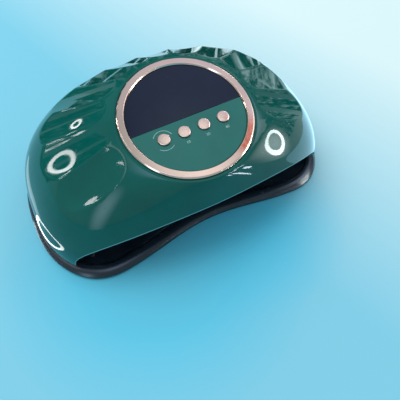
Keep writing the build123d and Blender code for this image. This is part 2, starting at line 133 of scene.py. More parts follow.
class ButtonSizes(PropertyGroup):
    """The four round buttons and the marks beside them."""

    pitch: length("Pitch", "Distance between buttons", 0.0154)
    y: length("Row", "Place of the row of buttons on the island", -0.0114)
    radius: length("Radius", "Radius of a cap", 0.00435)
    rise: length("Rise", "How far a cap stands above the panel", 0.0013)
    gap: length("Gap", "Gap round a cap", 0.00025)
    flange: length("Flange", "Radius of a cap's hidden flange", 0.0056)
    stem: length("Stem", "Radius of a cap's hidden stem", 0.002)
    crown: length("Crown", "Radius to which a cap's face is domed", 0.09)
    flange_height: length("Flange height", "Thickness of a cap's hidden flange", 0.0008)
    slack: length("Slack", "Gap between the flange and the panel", 0.0001)
    stem_end: length("Stem end", "Height of the stem's end on the island", -0.0051)
    mark_height: length("Mark height", "Height of the printed numbers", 0.0021)
    arc_width: length("Arc width", "Width of the printed arcs", 0.0003)
    mark_x: length("Mark shift", "Place of a number beside its button", -0.0006)
    mark_y: length("Mark drop", "Place of a number below its button", -0.0082)


class TraySizes(PropertyGroup):
    """The lobed tray and the frame that stands on it."""

    half_width: length("Half width", "Half the width of the tray", 0.135)
    back: length("Back", "Depth of the tray behind the housing's centre", 0.105)
    corner_y: length("Corner", "Where the front corners begin", -0.016)
    lobe_x: length("Lobe", "Place of each front lobe", 0.087)
    lobe_y: length("Lobe front", "How far forward the lobes reach", -0.0854)
    middle_y: length("Middle front", "How far forward the middle reaches", -0.0743)
    low: length("Underside", "Height of the underside", 0.0012)
    edge: length("Edge", "Top of the upright edge", 0.0036)
    top: length("Top", "Height of the crest and of the frame's seat", 0.007)
    floor: length("Dish", "Height of the dish's floor", 0.0032)
    foot_radius: length("Foot radius", "Radius of a rubber foot", 0.007)
    foot_height: length("Foot height", "Height of a rubber foot", 0.002)
    magnet_radius: length("Magnet radius", "Radius of a magnet", 0.004)
    magnet_height: length("Magnet height", "Thickness of a magnet", 0.003)
    magnet_cover: length("Magnet depth", "How far a magnet stays under the seat", 0.0001)
    pocket_gap: length("Pocket gap", "Gap round a foot and a magnet in the tray", 0.00015)
    chamfer: length("Chamfer", "Chamfer of a foot's and a magnet's rim", 0.0003)
    land_inset: length("Seat inset", "Where the frame's seat begins inside the tray's outline", 0.0084)
    frame_front: length("Frame front", "Where the frame's legs end", -0.060)


class TunnelSizes(PropertyGroup):
    """The silvered tunnel and the beads that shine into it."""

    half_width: length("Half width", "Half the tunnel's width at its foot", 0.096)
    top_half_width: length("Roof half width", "Half the tunnel's width at its roof", 0.066)
    back: length("Back", "Where the tunnel ends at its foot", 0.056)
    top_back: length("Roof back", "Where the tunnel's roof ends", 0.040)
    corner: length("Corner", "Radius of the back corners at the foot", 0.030)
    roof: length("Roof", "Height of the roof", 0.062)
    wall: length("Wall", "Thickness of the tunnel", 0.0012)
    bead_radius: length("Bead radius", "Radius of a lamp bead", 0.0024)
    bead_nose: length("Bead nose", "Depth of a bead's rounded nose", 0.00216)
    bead_reach: length("Bead reach", "How far a bead stands into the tunnel", 0.0014)


class InletSizes(PropertyGroup):
    """The inlet for the power lead, and the vents beside it."""

    z: length("Height", "Height of the inlet and of the vents", 0.027)
    floor_y: length("Recess", "Where the inlet's flange sits", 0.0846)
    flange_radius: length("Recess radius", "Radius of the flange's recess", 0.00715)
    barrel_radius: length("Hole radius", "Radius of the hole for the barrel", 0.00515)
    lead_radius: length("Lead radius", "Radius of the inner lead", 0.002)
    vent_count: count("Vents", "Number of vents on each side of the inlet", 6)
    vent_first: length("First vent", "Distance of the first vent from the inlet", 0.024)
    vent_pitch: length("Vent pitch", "Distance between vents", 0.006)
    vent_width: length("Vent width", "Width of a vent", 0.002)
    vent_height: length("Vent height", "Height of a vent", 0.014)
    vent_y: length("Vent depth", "Where the vents' cutters begin", 0.070)
    barrel_depth: length("Hole depth", "Depth of the hole for the barrel", 0.007)
    cut_reach: length("Cut reach", "How far the inlet's cutters stand out", 0.02)


class ScrewSizes(PropertyGroup):
    """The screws of the frame and of the board."""

    frame_head: length("Frame screw head", "Radius of a frame screw's head", 0.0029)
    frame_rise: length("Frame screw rise", "Height of a frame screw's head", 0.002)
    frame_shank: length("Frame screw shank", "Radius of a frame screw's shank", 0.0014)
    frame_seat: length("Frame screw seat", "Height of the seat of a frame screw's head", 0.0096)
    frame_tip: length("Frame screw tip", "Height of a frame screw's tip", 0.026)
    board_head: length("Board screw head", "Radius of a board screw's head", 0.0021)
    board_rise: length("Board screw rise", "Height of a board screw's head", 0.0014)
    board_shank: length("Board screw shank", "Radius of a board screw's shank", 0.001)
    board_seat: length("Board screw seat", "Height of the board's underside on the island", -0.0118)
    board_tip: length("Board screw tip", "Height of a board screw's tip on the island", -0.005)
    board_circle: length("Board screw circle", "Radius of the circle of board screws", 0.0433)


class FinishColours(PropertyGroup):
    """The colours of what shows outside."""

    shell: colour("Shell", "Emerald of the housing", (0.002, 0.101, 0.083))
    # Painted highlight: the lip's pale colour stands for light caught on its rounded edge
    lip: colour("Lip", "Thin pale edge of the hand opening", (0.20, 0.44, 0.46))
    ring: colour("Ring", "Rose gold of the ring and the buttons", (0.94, 0.62, 0.50))
    window: colour("Window", "Smoked window", (0.006, 0.010, 0.030))
    panel: colour("Panel", "Green of the control panel", (0.026, 0.156, 0.135))
    tray: colour("Tray", "Black of the tray and the frame", (0.012, 0.019, 0.032))
    table: colour("Table", "Pale table", (0.26, 0.66, 0.82))
    # Painted shade: a bluer table round the lamp, and a deeper blue where the lamp's shadow falls
    table_near_shade: colour("Table, near", "The table close to the lamp", (0.13, 0.63, 0.84))
    table_shade: colour("Table, shaded", "The table in the lamp's own shadow", (0.105, 0.67, 0.92))
    table_far: colour("Table, far", "The table where it is lighter", (0.86, 0.97, 0.96))


class NailLampSettings(PropertyGroup):
    """Everything that a user would change."""

    housing: PointerProperty(type=HousingSizes)
    island: PointerProperty(type=IslandSizes)
    buttons: PointerProperty(type=ButtonSizes)
    tray: PointerProperty(type=TraySizes)
    tunnel: PointerProperty(type=TunnelSizes)
    inlet: PointerProperty(type=InletSizes)
    screws: PointerProperty(type=ScrewSizes)
    colours: PointerProperty(type=FinishColours)


def settings():
    """The lamp's settings."""
    return bpy.context.scene.nail_lamp


# Finishes

class Finish:
    """A Principled material that is built up step by step on Object coordinates."""

    def __init__(self, name, roughness, metallic=0.0):
        self.material = bpy.data.materials.new(name)
        self.material.use_nodes = True
        self.tree = self.material.node_tree
        self.shader = self.tree.nodes["Principled BSDF"]
        self.set(Roughness=roughness, Metallic=metallic)
        self.place = self.tree.nodes.new("ShaderNodeTexCoord").outputs["Object"]

    def feed(self, socket, value):
        """Link a socket, or set its plain value."""
        if isinstance(value, bpy.types.NodeSocket):
            self.tree.links.new(value, socket)
        else:
            socket.default_value = value

    def node(self, kind, **inputs):
        """A node with its inputs set or linked, by name."""
        made = self.tree.nodes.new(kind)
        for name, value in inputs.items():
            self.feed(made.inputs[name.replace("_", " ")], value)
        return made

    def noise(self, scale, detail=3.0, rough=0.5, place=None):
        """Cloudy noise between 0 and 1; scale is in clouds per metre."""
        place = place or self.place
        made = self.node("ShaderNodeTexNoise", Vector=place, Scale=scale, Detail=detail, Roughness=rough)
        return made.outputs["Fac"]

    def spread(self, value, low, high, start=0.3, stop=0.7):
        """A value between start and stop, mapped to low and high."""
        made = self.node(
            "ShaderNodeMapRange", Value=value, From_Min=start, From_Max=stop, To_Min=low, To_Max=high
        )
        return made.outputs["Result"]

    def mix(self, factor, first, second):
        """Two colours, mixed by a factor."""
        made = self.tree.nodes.new("ShaderNodeMix")
        made.data_type = "RGBA"
        self.tree.links.new(factor, made.inputs["Factor"])
        for name, value in (("A", first), ("B", second)):
            socket = [s for s in made.inputs if s.name == name and s.type == "RGBA"][0]
            self.feed(socket, value if isinstance(value, bpy.types.NodeSocket) else (*value, 1))
        return [s for s in made.outputs if s.type == "RGBA"][0]

    def measure(self, operation, way):
        """The coordinates against a fixed vector: their DOT_PRODUCT with it, or their DISTANCE from it."""
        made = self.tree.nodes.new("ShaderNodeVectorMath")
        made.operation = operation
        self.feed(made.inputs[0], self.place)
        self.feed(made.inputs[1], way)
        return made.outputs["Value"]

    def paint(self, value):
        """Set the base colour."""
        self.feed(self.shader.inputs["Base Color"], value)

    def painted(self):
        """The base colour so far."""
        return self.shader.inputs["Base Color"].links[0].from_socket

    def polish(self, value):
        """Set the roughness from a pattern."""
        self.feed(self.shader.inputs["Roughness"], value)

    def relief(self, value, depth, strength=1.0):
        """Raise the surface by a pattern, on top of what raises it already; depth is in metres."""
        bump = self.node("ShaderNodeBump", Height=value, Distance=depth, Strength=strength)
        normal = self.shader.inputs["Normal"]
        if normal.is_linked:
            self.feed(bump.inputs["Normal"], normal.links[0].from_socket)
        self.feed(normal, bump.outputs["Normal"])

    def set(self, **values):
        """Set the shader's own sockets."""
        for name, value in values.items():
            self.feed(self.shader.inputs[name.replace("_", " ")], value)


def shades(tone, swing):
    """A darker and a lighter shade of one colour."""
    return [c * (1 - swing) for c in tone], [min(1, c * (1 + swing)) for c in tone]


def layered(name, tone, roughness, swing, clouds, polish, skin, metallic=0.0):
    """Clouds in the colour, a pattern in the polish and a fine skin, each a noise and then its range."""
    made = Finish(name, roughness, metallic)
    made.paint(made.mix(made.spread(made.noise(*clouds), 0, 1), *shades(tone, swing)))
    made.polish(made.spread(made.noise(*polish[:2]), *polish[2:]))
    made.relief(made.noise(*skin[:2]), *skin[2:])
    return made


def moulded(name, tone, roughness, swing=0.08, scale=60.0, grain=0.000004, grain_scale=900.0, metallic=0.0):
    """Moulded or plated stock: faint clouds in its colour and polish, and a fine skin."""
    polish = (3 * scale, 3, 0.85 * roughness, 1.2 * roughness)
    return layered(name, tone, roughness, swing, (scale, 4), polish, (grain_scale, 2, grain), metallic)


# Name of the mask that lays the painted highlight along the lip
LIP_HIGHLIGHT = "lip"


def emerald_lacquer():
    """The housing's deep green under a clear lacquer, with very fine flakes and a painted highlight along the
    lip.
    """
    tone = settings().colours.shell
    polish, skin = (140, 3, 0.025, 0.055), (70, 1, 0.00002, 0.25)
    made = layered("emerald_lacquer", tone, 0.04, 0.10, (35, 3), polish, skin)
    flakes = made.node("ShaderNodeTexVoronoi", Vector=made.place, Scale=5200.0)
    speck = made.spread(flakes.outputs["Color"], 0, 0.35, 0.80, 1.0)
    flaked = made.mix(speck, made.painted(), [min(1, 2.2 * c + 0.01) for c in tone])
    # Painted highlight: the pale lip colour, mixed in where the mask is set
    lip = made.node("ShaderNodeAttribute")
    lip.attribute_name = LIP_HIGHLIGHT
    made.paint(made.mix(lip.outputs["Fac"], flaked, tuple(settings().colours.lip)))
    made.set(IOR=1.38)
    return made.material


def rose_chrome():
    """Rose-gold plating with a polisher's faint swirl."""
    tone = settings().colours.ring
    polish, skin = (420, 5, 0.06, 0.14), (160, 2, 0.00001, 0.3)
    return layered("rose_chrome", tone, 0.09, 0.05, (45, 4), polish, skin, metallic=1.0).material


def rose_button():
    """Rose-gold plating on a cap with a faintly pebbled face."""
    tone = settings().colours.ring
    polish, skin = (700, 4, 0.10, 0.22), (800, 2, 0.00003, 0.5)
    return layered("rose_button", tone, 0.16, 0.07, (900, 3), polish, skin, metallic=1.0).material


def smoked_window():
    """Polished smoked plastic that hides the display while it is off, with a few specks of dust."""
    made = moulded("smoked_window", settings().colours.window, 0.08, swing=0.12, grain=0.000001)
    dust = made.spread(made.noise(2600, detail=1), 0, 1, 0.76, 0.80)
    made.paint(made.mix(dust, made.painted(), (0.10, 0.12, 0.16)))
    made.set(Specular_IOR_Level=0.35)
    return made.material


def panel_green():
    """The panel's lighter green, with a satin sheen."""
    made = moulded("panel_green", settings().colours.panel, 0.22, swing=0.06, scale=50.0)
    made.set(Specular_IOR_Level=0.28)
    return made.material


def tray_black():
    """Glossy black plastic with faint handling marks, longer across the tray than along it."""
    made = Finish("tray_black", 0.2)
    made.paint(made.mix(made.spread(made.noise(50), 0, 1), *shades(settings().colours.tray, 0.2)))
    drawn_out = made.node("ShaderNodeMapping", Vector=made.place, Scale=(0.25, 1.0, 1.0)).outputs["Vector"]
    made.polish(made.spread(made.noise(220, detail=5, place=drawn_out), 0.23, 0.28))
    made.relief(made.noise(500, detail=1), 0.000003, 0.6)
    made.set(Specular_IOR_Level=0.5)
    return made.material


def zinc_steel():
    """Zinc-plated screws with a lathe's fine rings."""
    made = moulded("zinc_steel", (0.55, 0.56, 0.57), 0.32, scale=500.0, metallic=1.0)
    lathe = made.node("ShaderNodeTexWave", Vector=made.place, Scale=900.0, Distortion=1.5)
    made.relief(lathe.outputs["Fac"], 0.00001, 0.4)
    return made.material


def liner_silver():
    """Vacuum silvering with a slight ripple; its clouds are spread wide, so that none has an edge."""
    made = Finish("liner_silver", 0.2, 1.0)
    wide = (0.05, 0.95)
    clouds = made.spread(made.noise(30, detail=1), 0, 1, *wide)
    made.paint(made.mix(clouds, (0.58, 0.59, 0.60), (0.78, 0.79, 0.80)))
    made.polish(made.spread(made.noise(60, detail=1), 0.20, 0.32, *wide))
    made.relief(made.noise(40, detail=2), 0.0001, 0.4)
    return made.material


def bead_resin():
    """Clear resin over a yellow phosphor."""
    made = moulded("bead_resin", (0.82, 0.78, 0.42), 0.12, swing=0.12, scale=900.0)
    made.set(Coat_Weight=1.0, Coat_Roughness=0.03, Subsurface_Weight=0.2, Subsurface_Scale=0.001)
    return made.material


BOARDS = {
    "board_green": ((0.006, 0.10, 0.04), (0.03, 0.22, 0.10)),
    "board_white": ((0.70, 0.71, 0.69), (0.60, 0.61, 0.56)),
}


def solder_mask(name):
    """A circuit board: its mask, with the tracks showing through as squares and lines."""
    made = Finish(name, 0.4)
    tracks = made.node(
        "ShaderNodeTexBrick", Vector=made.place, Scale=160.0, Mortar_Size=0.03, Color1=(0, 0, 0, 1),
        Color2=(0.3, 0.3, 0.3, 1), Mortar=(1, 1, 1, 1),
    )
    grey = made.node("ShaderNodeRGBToBW", Color=tracks.outputs["Color"]).outputs["Val"]
    made.paint(made.mix(grey, *BOARDS[name]))
    made.polish(made.spread(made.noise(300), 0.32, 0.48))
    made.relief(grey, 0.00003)
    return made.material


SPARKED = {"swing": 0.15, "scale": 200.0, "grain": 0.00002, "grain_scale": 2500.0}
STOCK = {
    "foot_rubber": ((0.028, 0.028, 0.030), 0.75, {"swing": 0.2, "scale": 300.0, "grain": 0.00004}),
    "nickel_plate": ((0.70, 0.68, 0.63), 0.18, {"scale": 400.0, "metallic": 1.0}),
    "contact_brass": ((0.78, 0.60, 0.28), 0.2, {"scale": 700.0, "metallic": 1.0}),
    "display_red": ((0.30, 0.035, 0.025), 0.5, {"scale": 700.0}),
    "plunger_white": ((0.62, 0.61, 0.57), 0.45, {"scale": 500.0}),
    "print_silver": ((0.42, 0.60, 0.54), 0.45, {"swing": 0.15, "scale": 900.0}),
    "sensor_black": ((0.02, 0.008, 0.012), 0.12, SPARKED),
    "socket_black": ((0.016, 0.016, 0.018), 0.5, SPARKED),
    "lead_black": ((0.02, 0.02, 0.02), 0.5, SPARKED),
    "switch_black": ((0.02, 0.02, 0.022), 0.5, SPARKED),
    "module_black": ((0.03, 0.03, 0.033), 0.5, SPARKED),
}


def stock(name):
    """A plain finish from the table: its colour, its roughness and how its skin differs from the usual."""
    tone, roughness, values = STOCK[name]
    return moulded(name, tone, roughness, **values).material


@cache
def finish(make, *values):
    """A finish that is made once and then shared."""
    return make(*values)


# Meshes

def put(name, data):
    """A new object in the scene."""
    made = bpy.data.objects.new(name, data)
    bpy.context.scene.collection.objects.link(made)
    return made


def new_piece(name, vertices, faces, material, sharp=40.0):
    """A mesh object with its faces outwards, smooth but for its sharp edges."""
    mesh = bpy.data.meshes.new(name)
    mesh.from_pydata([tuple(v) for v in vertices], [], [tuple(f) for f in faces])
    mesh.validate()
    mesh.materials.append(material)
    turn_outwards(mesh)
    mesh.shade_smooth()
    mesh.set_sharp_from_angle(angle=radians(sharp))
    return put(name, mesh)


def turn_outwards(mesh):
    """Flip the mesh if its faces point inwards."""
    mesh.calc_loop_triangles()
    corners = np.array([vertex.co for vertex in mesh.vertices])
    a, b, c = (corners[[triangle.vertices[k] for triangle in mesh.loop_triangles]] for k in range(3))
    if np.einsum("ij,ij->i", a, np.cross(b, c)).sum() < 0:
        mesh.flip_normals()


def quads(low, high):
    """Four-cornered faces between rows of point numbers, closed round the piece."""
    corners = [low, np.roll(low, -1, axis=1), np.roll(high, -1, axis=1), high]
    return np.stack(corners, axis=-1).reshape(-1, 4)


def from_rows(name, rows, material, sharp=40.0, ring=False):
    """A piece from rows of points round it: a ring closes on itself, anything else is capped at both ends."""
    rows = np.asarray(rows)
    here = np.arange(rows.shape[0] * rows.shape[1]).reshape(rows.shape[:2])
    if ring:
        faces = quads(here, np.roll(here, -1, axis=0)).tolist()
    else:
        faces = quads(here[:-1], here[1:]).tolist() + [here[0][::-1].tolist(), here[-1].tolist()]
    return new_piece(name, rows.reshape(-1, 3), faces, material, sharp)


def circle(radius, z=0.0, around=64):
    """Points round the Z axis."""
    return [(radius * cos(t), radius * sin(t), z) for t in np.arange(around) * 2 * pi / around]


def bend(start, corner, end, steps=4):
    """Steps along a rounded corner, from one point or row of points to another."""
    shares = [j / steps for j in range(steps + 1)]
    return [start * (1 - t) ** 2 + corner * 2 * t * (1 - t) + end * t**2 for t in shares]


def rounded(points, radius, steps=4, rest=0.0):
    """A closed (radius, height) profile with round corners; a rest keeps the flats beside them flat."""
    out = []
    for k, corner in enumerate(points):
        here = Vector(corner)
        ways = [Vector(points[k - 1]) - here, Vector(points[(k + 1) % len(points)]) - here]
        reach = min(radius, *(0.45 * way.length for way in ways))
        start, end = (here + way.normalized() * reach for way in ways)
        if rest:
            out.append(tuple(start + ways[0].normalized() * rest))
        out += [tuple(point) for point in bend(start, here, end, steps)]
        if rest:
            out.append(tuple(end + ways[1].normalized() * rest))
    return out


def turned(name, profile, material, place, around=256):
    """A turned piece from a closed profile that stays off the axis."""
    made = from_rows(name, [circle(r, z, around) for r, z in profile], material, ring=True)
    made.data.transform(place)
    return made


def turned_solid(name, profile, material, place, around=96):
    """A turned piece from an open profile, closed at both ends on the axis."""
    points = [point for r, z in profile for point in circle(r, z, around)]
    here = np.arange(len(points)).reshape(len(profile), around)
    faces = quads(here[:-1], here[1:]).tolist()
    low, high = len(points), len(points) + 1
    points += [(0, 0, profile[0][1]), (0, 0, profile[-1][1])]
    for j in range(around):
        after = (j + 1) % around
        faces += [(here[0][after], here[0][j], low), (here[-1][j], here[-1][after], high)]
    made = new_piece(name, points, faces, material)
    made.data.transform(place)
    return made


LEVEL = 0.999


def plate(name, outline, low, high, material, bevel, steps=3):
    """A flat plate; outline(inset) gives its outer loop and its holes, and its top edges are rounded."""
    rounds = [j / steps * pi / 2 for j in range(steps + 1)]
    levels = [(0.0, low)] + [(bevel * (1 - cos(t)), high - bevel * (1 - sin(t))) for t in rounds]
    loops = [outline(inset) for inset, _ in levels]
    points, faces, spans = [], [], []
    for level, (_, z) in zip(loops, levels):
        spans.append([])
        for loop in level:
            spans[-1].append((len(points), len(loop)))
            points += [(x, y, z) for x, y in loop]
    for before, after in zip(spans, spans[1:]):
        for (a, n), (b, _) in zip(before, after):
            faces += [(a + j, a + (j + 1) % n, b + (j + 1) % n, b + j) for j in range(n)]
    for level, downward in ((0, True), (-1, False)):
        order = [start + j for start, n in spans[level] for j in range(n)]
        flat = [[Vector((*point, 0)) for point in loop] for loop in loops[level]]
        for triangle in tessellate_polygon(flat):
            face = [order[k] for k in triangle]
            a, b, c = (Vector(points[k]) for k in face)
            upward = (b - a).cross(c - a).z > 0
            faces.append(face[::-1] if upward == downward else face)
    made = new_piece(name, points, faces, material)
    meets = {}
    for face in made.data.polygons:
        for key in face.edge_keys:
            meets.setdefault(key, set()).add(abs(face.normal.z) > LEVEL)
    for edge in made.data.edges:
        if len(meets[edge.key]) > 1:
            edge.use_edge_sharp = True
    return made


def consistent(made):
    """Make the faces of a joined mesh agree, and turn them outwards."""
    work = bmesh.new()
    work.from_mesh(made.data)
    bmesh.ops.remove_doubles(work, verts=work.verts, dist=1e-7)
    bmesh.ops.recalc_face_normals(work, faces=work.faces)
    work.to_mesh(made.data)
    work.free()
    return made


def carve(target, tools, operation="DIFFERENCE", sharp=40.0):
    """Cut the tools out of the target, or add them to it, and drop the tools."""
    for tool in tools:
        step = target.modifiers.new("carve", "BOOLEAN")
        step.object = tool
        step.operation = operation
        step.solver = "EXACT"
    flatten(target, sharp)
    for tool in tools:
        bpy.data.objects.remove(tool)


def evaluated(made):
    """The mesh that an object's modifiers or its curve give."""
    bpy.context.view_layer.update()
    graph = bpy.context.evaluated_depsgraph_get()
    return bpy.data.meshes.new_from_object(made.evaluated_get(graph), depsgraph=graph)


def flatten(made, sharp):
    """Turn a piece's modifiers into its plain mesh."""
    mesh = evaluated(made)
    mesh.name = made.name
    made.modifiers.clear()
    made.data = mesh
    if not mesh.polygons:
        raise RuntimeError(f"nothing is left of {made.name}")
    mesh.set_sharp_from_angle(angle=radians(sharp))


def mesh_of(name, curve):
    """A curve or a text as a mesh."""
    made = put(name, curve)
    mesh = evaluated(made)
    bpy.data.objects.remove(made)
    return mesh


def closed_curve(points, amount):
    """Evenly spaced points of the smooth closed curve through some points."""
    points = np.asarray(points)
    after = np.roll(points, -1, axis=0)
    chord = np.linalg.norm(after - points, axis=1)
    before = np.roll(chord, 1)
    knots = np.concatenate([[0], np.cumsum(chord)])
    same = np.eye(len(points))
    system = same * 2 * (before + chord)[:, None]
    system += np.roll(same, -1, axis=1) * before[:, None] + np.roll(same, 1, axis=1) * chord[:, None]
    slope = (after - points) / chord[:, None]
    bends = np.linalg.solve(system, 6 * (slope - np.roll(slope, 1, axis=0)))
    t = np.arange(amount) / amount * knots[-1]
    k = np.minimum(np.searchsorted(knots, t, side="right") - 1, len(points) - 1)
    h, a, b = (part[:, None] for part in (chord[k], knots[k + 1] - t, t - knots[k]))
    m, o = bends[k], np.roll(bends, -1, axis=0)[k]
    out = (m * a**3 + o * b**3) / (6 * h) + (points[k] / h - m * h / 6) * a + (after[k] / h - o * h / 6) * b
    return out.tolist()


def smooth_path(points, amount):
    """A smooth open curve through a few (inset, height) points."""
    points = np.asarray(points, float)
    knots = np.concatenate([[0], np.cumsum(np.linalg.norm(np.diff(points, axis=0), axis=1))])
    slopes = np.gradient(points, knots, axis=0)
    t = np.linspace(0, knots[-1], amount)
    k = np.minimum(np.searchsorted(knots, t, side="right") - 1, len(points) - 2)
    h = (knots[k + 1] - knots[k])[:, None]
    s = (t - knots[k])[:, None] / h
    out = points[k] * (2 * s**3 - 3 * s**2 + 1) + slopes[k] * h * (s**3 - 2 * s**2 + s)
    out += points[k + 1] * (3 * s**2 - 2 * s**3) + slopes[k + 1] * h * (s**3 - s**2)
    return out.tolist()


def evenly(amount, pitch):
    """Places on both sides of the middle, one pitch apart."""
    return (np.arange(amount) - (amount - 1) / 2) * pitch


HALVINGS = 40


def halved(low, high, beyond):
    """The places between two rows of numbers where a test turns true, by halving the distance."""
    for _ in range(HALVINGS):
        middle = (low + high) / 2
        over = beyond(middle)
        low, high = np.where(over, low, middle), np.where(over, middle, high)
    return high


# Geometry Nodes rules for what repeats

def sums(operation, turned_round=False):
    """A Python operator that adds the node for its sum."""
    def add(self, other=0.0):
        return self.rule.calc(operation, *((other, self) if turned_round else (self, other)))
    return add


class Value:
    """What a node of a rule gives; sums on it are written as on plain numbers."""

    def __init__(self, rule, socket):
        self.rule, self.socket = rule, socket

    __add__, __sub__, __rsub__ = sums("ADD"), sums("SUBTRACT"), sums("SUBTRACT", True)
    __mul__, __truediv__, __abs__ = sums("MULTIPLY"), sums("DIVIDE"), sums("ABSOLUTE")
    __gt__, __lt__ = sums("GREATER_THAN"), sums("LESS_THAN")


class Rule:
    """A Geometry Nodes tree, built step by step, with named inputs for its sizes."""

    def __init__(self, name):
        self.tree = bpy.data.node_groups.new(name, "GeometryNodeTree")
        for way in ("INPUT", "OUTPUT"):
            self.tree.interface.new_socket("Geometry", in_out=way, socket_type="NodeSocketGeometry")
        self.entry = self.tree.nodes.new("NodeGroupInput")
        self.points = Value(self, self.entry.outputs["Geometry"])

    def ask(self, *names, kind="Float"):
        """Named inputs of the tree."""
        for name in names:
            socket = self.tree.interface.new_socket(name, in_out="INPUT", socket_type="NodeSocket" + kind)
            if kind == "Float":
                socket.subtype = "DISTANCE"
        asked = [Value(self, self.entry.outputs[name]) for name in names]
        return asked if len(asked) > 1 else asked[0]

    def node(self, kind, choices=(), **inputs):
        """What a new node gives, with its choices made and its inputs set or linked."""
        made = self.tree.nodes.new(kind)
        for name, value in dict(choices).items():
            setattr(made, name, value)
        for name, value in inputs.items():
            self.feed([s for s in made.inputs if s.enabled and s.name == name.replace("_", " ")][0], value)
        return Value(self, [s for s in made.outputs if s.enabled][0])

    def feed(self, socket, value):
        """Link each value of a list, or set a plain one."""
        for item in value if isinstance(value, list) else [value]:
            if isinstance(item, Value):
                self.tree.links.new(item.socket, socket)
            else:
                socket.default_value = item

    def calc(self, operation, first, second=0.0):
        """A sum on one or two numbers."""
        made = self.tree.nodes.new("ShaderNodeMath")
        made.operation = operation
        self.feed(made.inputs[0], first)
        self.feed(made.inputs[1], second)
        return Value(self, made.outputs[0])

    def pick(self, test, yes, no):
        """One of two numbers."""
        choices = {"True": yes, "False": no}
        return self.node("GeometryNodeSwitch", {"input_type": "FLOAT"}, Switch=test, **choices)

    def place(self):
        """Each point's own position."""
        made = self.tree.nodes.new("ShaderNodeSeparateXYZ")
        self.feed(made.inputs[0], self.node("GeometryNodeInputPosition"))
        return [Value(self, socket) for socket in made.outputs]

    def from_axis(self, x, y):
        """How far a point is from the axis."""
        return self.calc("SQRT", x * x + y * y)

    def vector(self, x, y, z):
        """Three numbers as a vector."""
        return self.node("ShaderNodeCombineXYZ", X=x, Y=y, Z=z)

    def moved(self, shape, *position):
        """A shape with its points put somewhere else."""
        return self.node("GeometryNodeSetPosition", Geometry=shape, Position=self.vector(*position))

    def shifted(self, shape, z):
        """A shape moved along its own axis."""
        return self.node("GeometryNodeTransform", Geometry=shape, Translation=self.vector(0.0, 0.0, z))

    def stand(self, shape, turned=False):
        """Put a shape on every point, stood along the point's facing, and end the tree."""
        facing = self.node("GeometryNodeInputNamedAttribute", {"data_type": "FLOAT_VECTOR"}, Name="facing")
        rotation = self.node("FunctionNodeAlignRotationToVector", {"axis": "Z"}, Vector=facing)
        if turned:
            spin = self.node("FunctionNodeRandomValue", {"data_type": "FLOAT"}, Max=2 * pi, Seed=7)
            twist = self.node("FunctionNodeAxisAngleToRotation", Axis=(0.0, 0.0, 1.0), Angle=spin)
            local = {"rotation_space": "LOCAL"}
            rotation = self.node("FunctionNodeRotateRotation", local, Rotation=rotation, Rotate_By=twist)
        placed = {"Points": self.points, "Instance": shape, "Rotation": rotation}
        self.close(self.node("GeometryNodeInstanceOnPoints", **placed))

    def close(self, shape):
        """End the tree: real geometry, smooth, in its finish."""
        smooth = self.node("GeometryNodeSetShadeSmooth", Geometry=shape)
        real = self.node("GeometryNodeRealizeInstances", Geometry=smooth)
        material = self.ask("Finish", kind="Material")
        finished = self.node("GeometryNodeSetMaterial", Geometry=real, Material=material)
        made = self.tree.nodes.new("NodeGroupOutput")
        self.feed(made.inputs["Geometry"], finished)


def peg_rule():
    """Round pegs: a straight neck above the point and a rounded nose below it."""
    rule = Rule("peg_rule")
    radius, nose, neck = rule.ask("Radius", "Nose", "Neck")
    ball = rule.node("GeometryNodeMeshUVSphere", Segments=20, Rings=12, Radius=radius)
    x, y, z = rule.place()
    share = z / radius
    wall = (share > 0.01) * (share < 0.6)
    wide = rule.pick(wall, radius / rule.calc("MAXIMUM", rule.from_axis(x, y), 0.00001), 1.0)
    rise = neck * rule.calc("MINIMUM", share / 0.5, 1.0)
    height = rule.pick(share > 0.01, rise, share * nose)
    rule.stand(rule.moved(ball, x * wide, y * wide, height))
    return rule.tree


def pad_rule():
    """Round pads with a chamfered rim, and rings pressed into their lower face."""
    rule = Rule("pad_rule")
    radius, height, chamfer, groove = rule.ask("Radius", "Height", "Chamfer", "Groove")
    rings = rule.ask("Rings", kind="Int")
    drum = rule.node(
        "GeometryNodeMeshCylinder", Vertices=48, Side_Segments=3, Fill_Segments=24, Radius=radius, Depth=height
    )
    x, y, z = rule.place()
    half = height / 2.0
    level = z / half
    face = abs(level) > 0.9
    scale = rule.pick(face, (radius - chamfer) / radius, 1.0)
    wave = (1.0 - rule.calc("COSINE", rule.from_axis(x, y) / radius * (rings * (2 * pi)))) * 0.5
    pressed = wave * groove * (level < -0.9)
    shoulder = rule.calc("SIGN", level) * (half - chamfer)
    depth = rule.pick(face, z + pressed, shoulder)
    rule.stand(rule.shifted(rule.moved(drum, x * scale, y * scale, depth), half))
    return rule.tree


def screw_rule():
    """Round-headed screws with a cross recess; the point is the seat, and the shank stands on it."""
    rule = Rule("screw_rule")
    head, rise, shank, reach = rule.ask("Head", "Rise", "Shank", "Reach")
    ball = rule.node("GeometryNodeMeshUVSphere", Segments=32, Rings=16, Radius=head)
    x, y, z = rule.place()
    dome = rule.moved(ball, x, y, rule.calc("MINIMUM", z / head, 0.0) * rise)
    cone = rule.node(
        "GeometryNodeMeshCone", Vertices=24, Side_Segments=1, Fill_Segments=1, Radius_Top=shank * 0.55,
        Radius_Bottom=shank, Depth=reach + rise / 3.0,
    )
    stem = rule.shifted(cone, rise / -3.0)
    bars = [
        rule.shifted(rule.node("GeometryNodeMeshCube", Size=rule.vector(*sides, rise * 1.1)), rise * -1.0)
        for sides in ((head * 1.1, head * 0.26), (head * 0.26, head * 1.1))
    ]
    union, difference = ({"operation": name, "solver": "EXACT"} for name in ("UNION", "DIFFERENCE"))
    whole = rule.node("GeometryNodeMeshBoolean", union, Mesh=[dome, stem])
    rule.stand(rule.node("GeometryNodeMeshBoolean", difference, Mesh_1=whole, Mesh_2=bars), turned=True)
    return rule.tree


